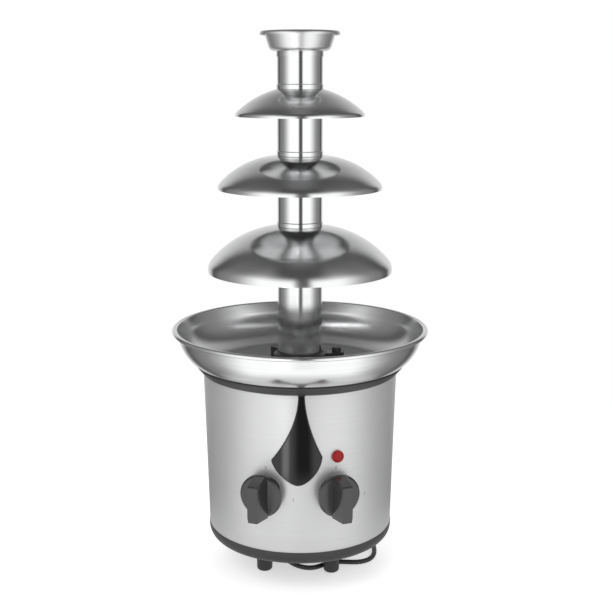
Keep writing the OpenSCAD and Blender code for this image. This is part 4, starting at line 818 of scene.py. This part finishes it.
def panel_sides(z):
    """Left and right reach of the drop panel at a height: powers of the way down above its corners, a bulged curve
    below them."""
    tl, tr = np.clip((Z_RING - z) / (Z_RING - LEFT_Z), 0, 1), np.clip((Z_RING - z) / (Z_RING - RIGHT_Z), 0, 1)
    left = np.where(z >= LEFT_Z, TOP_LEFT_X + (LEFT_X - TOP_LEFT_X) * tl ** 1.95, 0)
    right = np.where(z >= RIGHT_Z, TOP_RIGHT_X + (RIGHT_X - TOP_RIGHT_X) * tr ** 1.8, 0)
    dl, dr = np.clip((z - LEFT_Z) / (TIP_Z - LEFT_Z), 0, 1), np.clip((z - RIGHT_Z) / (TIP_Z - RIGHT_Z), 0, 1)
    left = np.where(z < LEFT_Z, TIP_X + (LEFT_X - TIP_X) * (1 - dl ** 1.5) ** (1 / 1.5), left)
    right = np.where(z < RIGHT_Z, TIP_X + (RIGHT_X - TIP_X) * (1 - dr ** 1.7) ** (1 / 1.7), right)
    return left, right


tip_rows = TIP_Z + (LEFT_Z - TIP_Z) * (1 - np.cos(np.linspace(0, math.pi / 2, 40)))
panel_z = np.concatenate([tip_rows[:-1], np.linspace(LEFT_Z, RIGHT_Z, 6)[:-1], np.linspace(RIGHT_Z, Z_RING, 60)])
left, right = panel_sides(panel_z)
u = np.sin(np.linspace(-math.pi / 2, math.pi / 2, 61))
panel_x = (left + right)[:, None] / 2 + (right - left)[:, None] / 2 * u
edge = np.minimum((1 - np.abs(u)) * (right - left)[:, None] / 2, PANEL_ROUND) / PANEL_ROUND
edge = np.minimum(edge, np.clip((panel_z - TIP_Z) / PANEL_ROUND, 0, 1)[:, None])
panel_r = shell_r(panel_z)[:, None] + 0.05 + PANEL_RISE * np.sqrt(1 - (1 - edge) ** 2)
panel_y = -np.sqrt(panel_r ** 2 - panel_x ** 2)
front = np.stack([panel_x, panel_y, np.broadcast_to(panel_z[:, None], panel_x.shape)], -1).reshape(-1, 3)
panel = mesh_object("drop_panel_gloss", front, grid_faces(len(panel_z), 61, False, False), 60, 0.001)
fit(backed(panel), "base", "gloss_black", GLOSS, "drop_panel")

# ---------------------------------------------------------------- knobs
DISC_R = 19.5
disc = rounded([[0, KNOB_BACK + 4.3], [DISC_R - 1.8, KNOB_BACK + 4.3], [DISC_R - 1.8, KNOB_BACK],
                [DISC_R - 0.4, KNOB_BACK], [DISC_R, KNOB_BACK + 0.4], [DISC_R, KNOB_FACE - 1.6],
                [DISC_R - 1.6, KNOB_FACE], [0, KNOB_FACE]], 0.35, 4)
disc[:, 0] = np.maximum(disc[:, 0], 0)
# rows of the grip from its top to its lower end: height of its foot, height of its front, half width of each, and
# how far it stands out
ridge = arc(12.2, 15.0, 3.1, 12.8, 90, 9)
grip_rows = np.concatenate([[[18.4, 18.8, 6.6, 4.9, 0.8]],
                            np.stack([ridge[:, 0], ridge[:, 0], np.full(9, 7.2), np.full(9, 4.7), ridge[:, 1]], 1),
                            [[-5, -5, 7.2, 4.7, 18.1], [-9, -9, 7.4, 4.7, 18.1], [-14.6, -14.0, 8.0, 4.7, 18.1],
                             [-19.2, -18.6, 7.2, 4.2, 17.4]]])
foot_z, front_z, foot_w, front_w, stand = grip_rows.T
grip = np.stack([[-foot_w, foot_z, 0 * stand], [foot_w, foot_z, 0 * stand], [front_w, front_z, stand],
                 [-front_w, front_z, stand]]).transpose(2, 0, 1).reshape(-1, 3)
grip[:, 2] += KNOB_FACE - 0.4
n = len(grip)
grip_faces = grid_faces(n // 4, 4, False, True).tolist() + [[3, 2, 1, 0], [n - 4, n - 3, n - 2, n - 1]]
for body, s in (("motor_knob", -1), ("heat_knob", 1)):
    place = on_panel(s * KNOB_ANGLE, KNOB_Z)
    fit(lathe(body + "_disc", disc, 128, 1.5, place), body, "black_plastic", KNOB, body)
    made = mesh_object(body + "_grip", place(grip), grip_faces, 30, 0.001)
    fit(bevel(made, 0.8, 4, 14), body, "black_plastic", KNOB)

# ---------------------------------------------------------------- pilot lamp: a rim and a domed cap
lens_line = np.concatenate([[[0, 90.3], [5.5, 90.3], [5.5, 91.2]], arc(0, 80.1, 13.0, 65, 90, 12)])
lens_line[3:, 0] = np.minimum(lens_line[3:, 0], 5.3)
lens_line[-1, 0] = 0
fit(lathe("lamp_lens", lens_line, 96, 0.8, on_panel(LAMP_ANGLE, LAMP_Z)), "base", "red_lens", LENS, "indicator_lens")


# ---------------------------------------------------------------- printed figures round the knobs
def figure(name, text, size, angle, z):
    """A figure printed on the housing: flat letters cut from the font, their points laid on the sheet's own radius."""
    curve = bpy.data.curves.new(name, "FONT")
    curve.body, curve.size, curve.align_x, curve.align_y = text, size, "CENTER", "CENTER"
    temp = bpy.data.objects.new(name + "_text", curve)
    scene.collection.objects.link(temp)
    bpy.context.view_layer.update()
    source = bpy.data.meshes.new_from_object(temp.evaluated_get(bpy.context.evaluated_depsgraph_get()))
    bm = bmesh.new()
    bm.from_mesh(source)
    bmesh.ops.triangulate(bm, faces=bm.faces)
    bmesh.ops.subdivide_edges(bm, edges=bm.edges, cuts=2)
    bmesh.ops.triangulate(bm, faces=bm.faces)
    co = np.array([v.co[:] for v in bm.verts])
    tris = [[v.index for v in f.verts] for f in bm.faces]
    bm.free()
    bpy.data.objects.remove(temp)
    bpy.data.curves.remove(curve)
    bpy.data.meshes.remove(source)
    height = z + co[:, 1]
    rr = shell_r(height) + 0.04
    a = math.radians(angle) + co[:, 0] / rr
    made = mesh_object(name, np.stack([rr * np.sin(a), -rr * np.cos(a), height], 1), tris, 60)
    return fit(backed(made, 0.06), "base", "black_plastic", PRINT)


for side, s in (("left", -1), ("right", 1)):
    figure(f"figure_{side}_off", "0", 4.4, s * KNOB_ANGLE + 0.5, 121.7)
figure("figure_left_on", "1", 5.0, -KNOB_ANGLE + 16.6, 93.0)
figure("figure_right_on", "1", 5.0, KNOB_ANGLE + 21.0, 91.0)

# ---------------------------------------------------------------- screw: core with its skirt, and one long flight
AUGER_Z, AUGER_TOP, SKIRT_Z, CONE_H = 204.6, 481.4, 232.2, 8
CORE_R, SKIRT_R, AUGER_R, PITCH = 6.5, 11.2, 17.4, 26.0
HOLLOW_R, HOLLOW_TOP = 9.6, 215.4  # the hollow of the skirt, round the drive head
core = np.concatenate([[[0, HOLLOW_TOP], [HOLLOW_R, HOLLOW_TOP], [HOLLOW_R, AUGER_Z], [SKIRT_R, AUGER_Z],
                        [SKIRT_R, SKIRT_Z], [CORE_R, SKIRT_Z + CONE_H]],
                       arc(0, AUGER_TOP - CORE_R, CORE_R, 0, 90, 14)])
core[-1, 0] = 0
fit(lathe("auger_core", rounded(core, 0.4, 3), 72, 3.0), "auger", "white_plastic", WHITE, "auger")
flight_from, flight_to = AUGER_Z + 1.2, AUGER_TOP - CORE_R - 3
turn_count = (flight_to - flight_from) / PITCH
t = np.linspace(0, turn_count, int(turn_count * 72))
flight_z = flight_from + PITCH * t
root = np.interp(flight_z, [SKIRT_Z, SKIRT_Z + CONE_H], [SKIRT_R, CORE_R]) - 0.7
reach = np.clip(np.minimum(np.minimum(1, t * 6), (turn_count - t) * 4 + 0.02), 0, 1)
tip = root + 1 + (AUGER_R - root - 1) * reach
# section of the flight: share of the way from root to tip, and height
section = np.array([[0, 1.5], [0.55, 1.1], [0.94, 0.8], [0.985, 0.6], [1, 0.2],
                    [1, -0.2], [0.985, -0.6], [0.94, -0.8], [0.55, -1.1], [0, -1.5]])
n, m = len(t), len(section)
flight_r = root[:, None] + (tip - root)[:, None] * section[:, 0]
flight_a = 2 * math.pi * t[:, None]
flight = np.stack([flight_r * np.cos(flight_a), flight_r * np.sin(flight_a),
                   flight_z[:, None] + 1 + section[:, 1]], -1).reshape(-1, 3)
flight_faces = grid_faces(n, m, False, True)[:, ::-1].tolist() + [list(range(m)), list(range(n * m - m, n * m))[::-1]]
fit(mesh_object("auger_flight", flight, flight_faces, 40, 0.0005), "auger", "white_plastic", WHITE)

# ---------------------------------------------------------------- finishes of the nodes that stay
finishes = {"base_tray": BLACK, "foot_screws": ZINC, "tower_seat": BLACK, "seat_gasket": SILICONE, "seat_nut": BRASS,
            "shaft_bush": BRASS, "shaft_seal": SILICONE, "heat_spreader": ALUMINIUM, "heating_element": SHEATH,
            "thermostat": CREAM, "thermal_fuse": CREAM, "tie_rods": ZINC, "tie_nuts": ZINC, "motor_bracket": ZINC,
            "gearbox": ALUMINIUM, "gear_motor": ZINC, "motor_screws": ZINC, "motor_switch": CREAM, "heat_switch": CREAM,
            "switch_nuts": ZINC, "indicator_lamp": CREAM, "terminal_block": CREAM, "strain_relief": RUBBER,
            "cord_tie": RUBBER, "plug_body": RUBBER, "plug_pins": BRASS, "output_shaft": ZINC, "drive_head": MIRROR,
            "drive_pin": ZINC, "motor_spindle": ZINC, "heat_spindle": ZINC}
for name, mat in finishes.items():
    dress(nodes[name], mat)
# the other nodes have a finely made piece in their place
for name in sorted(set(nodes) - set(finishes)):
    dress(nodes[name], BLACK)
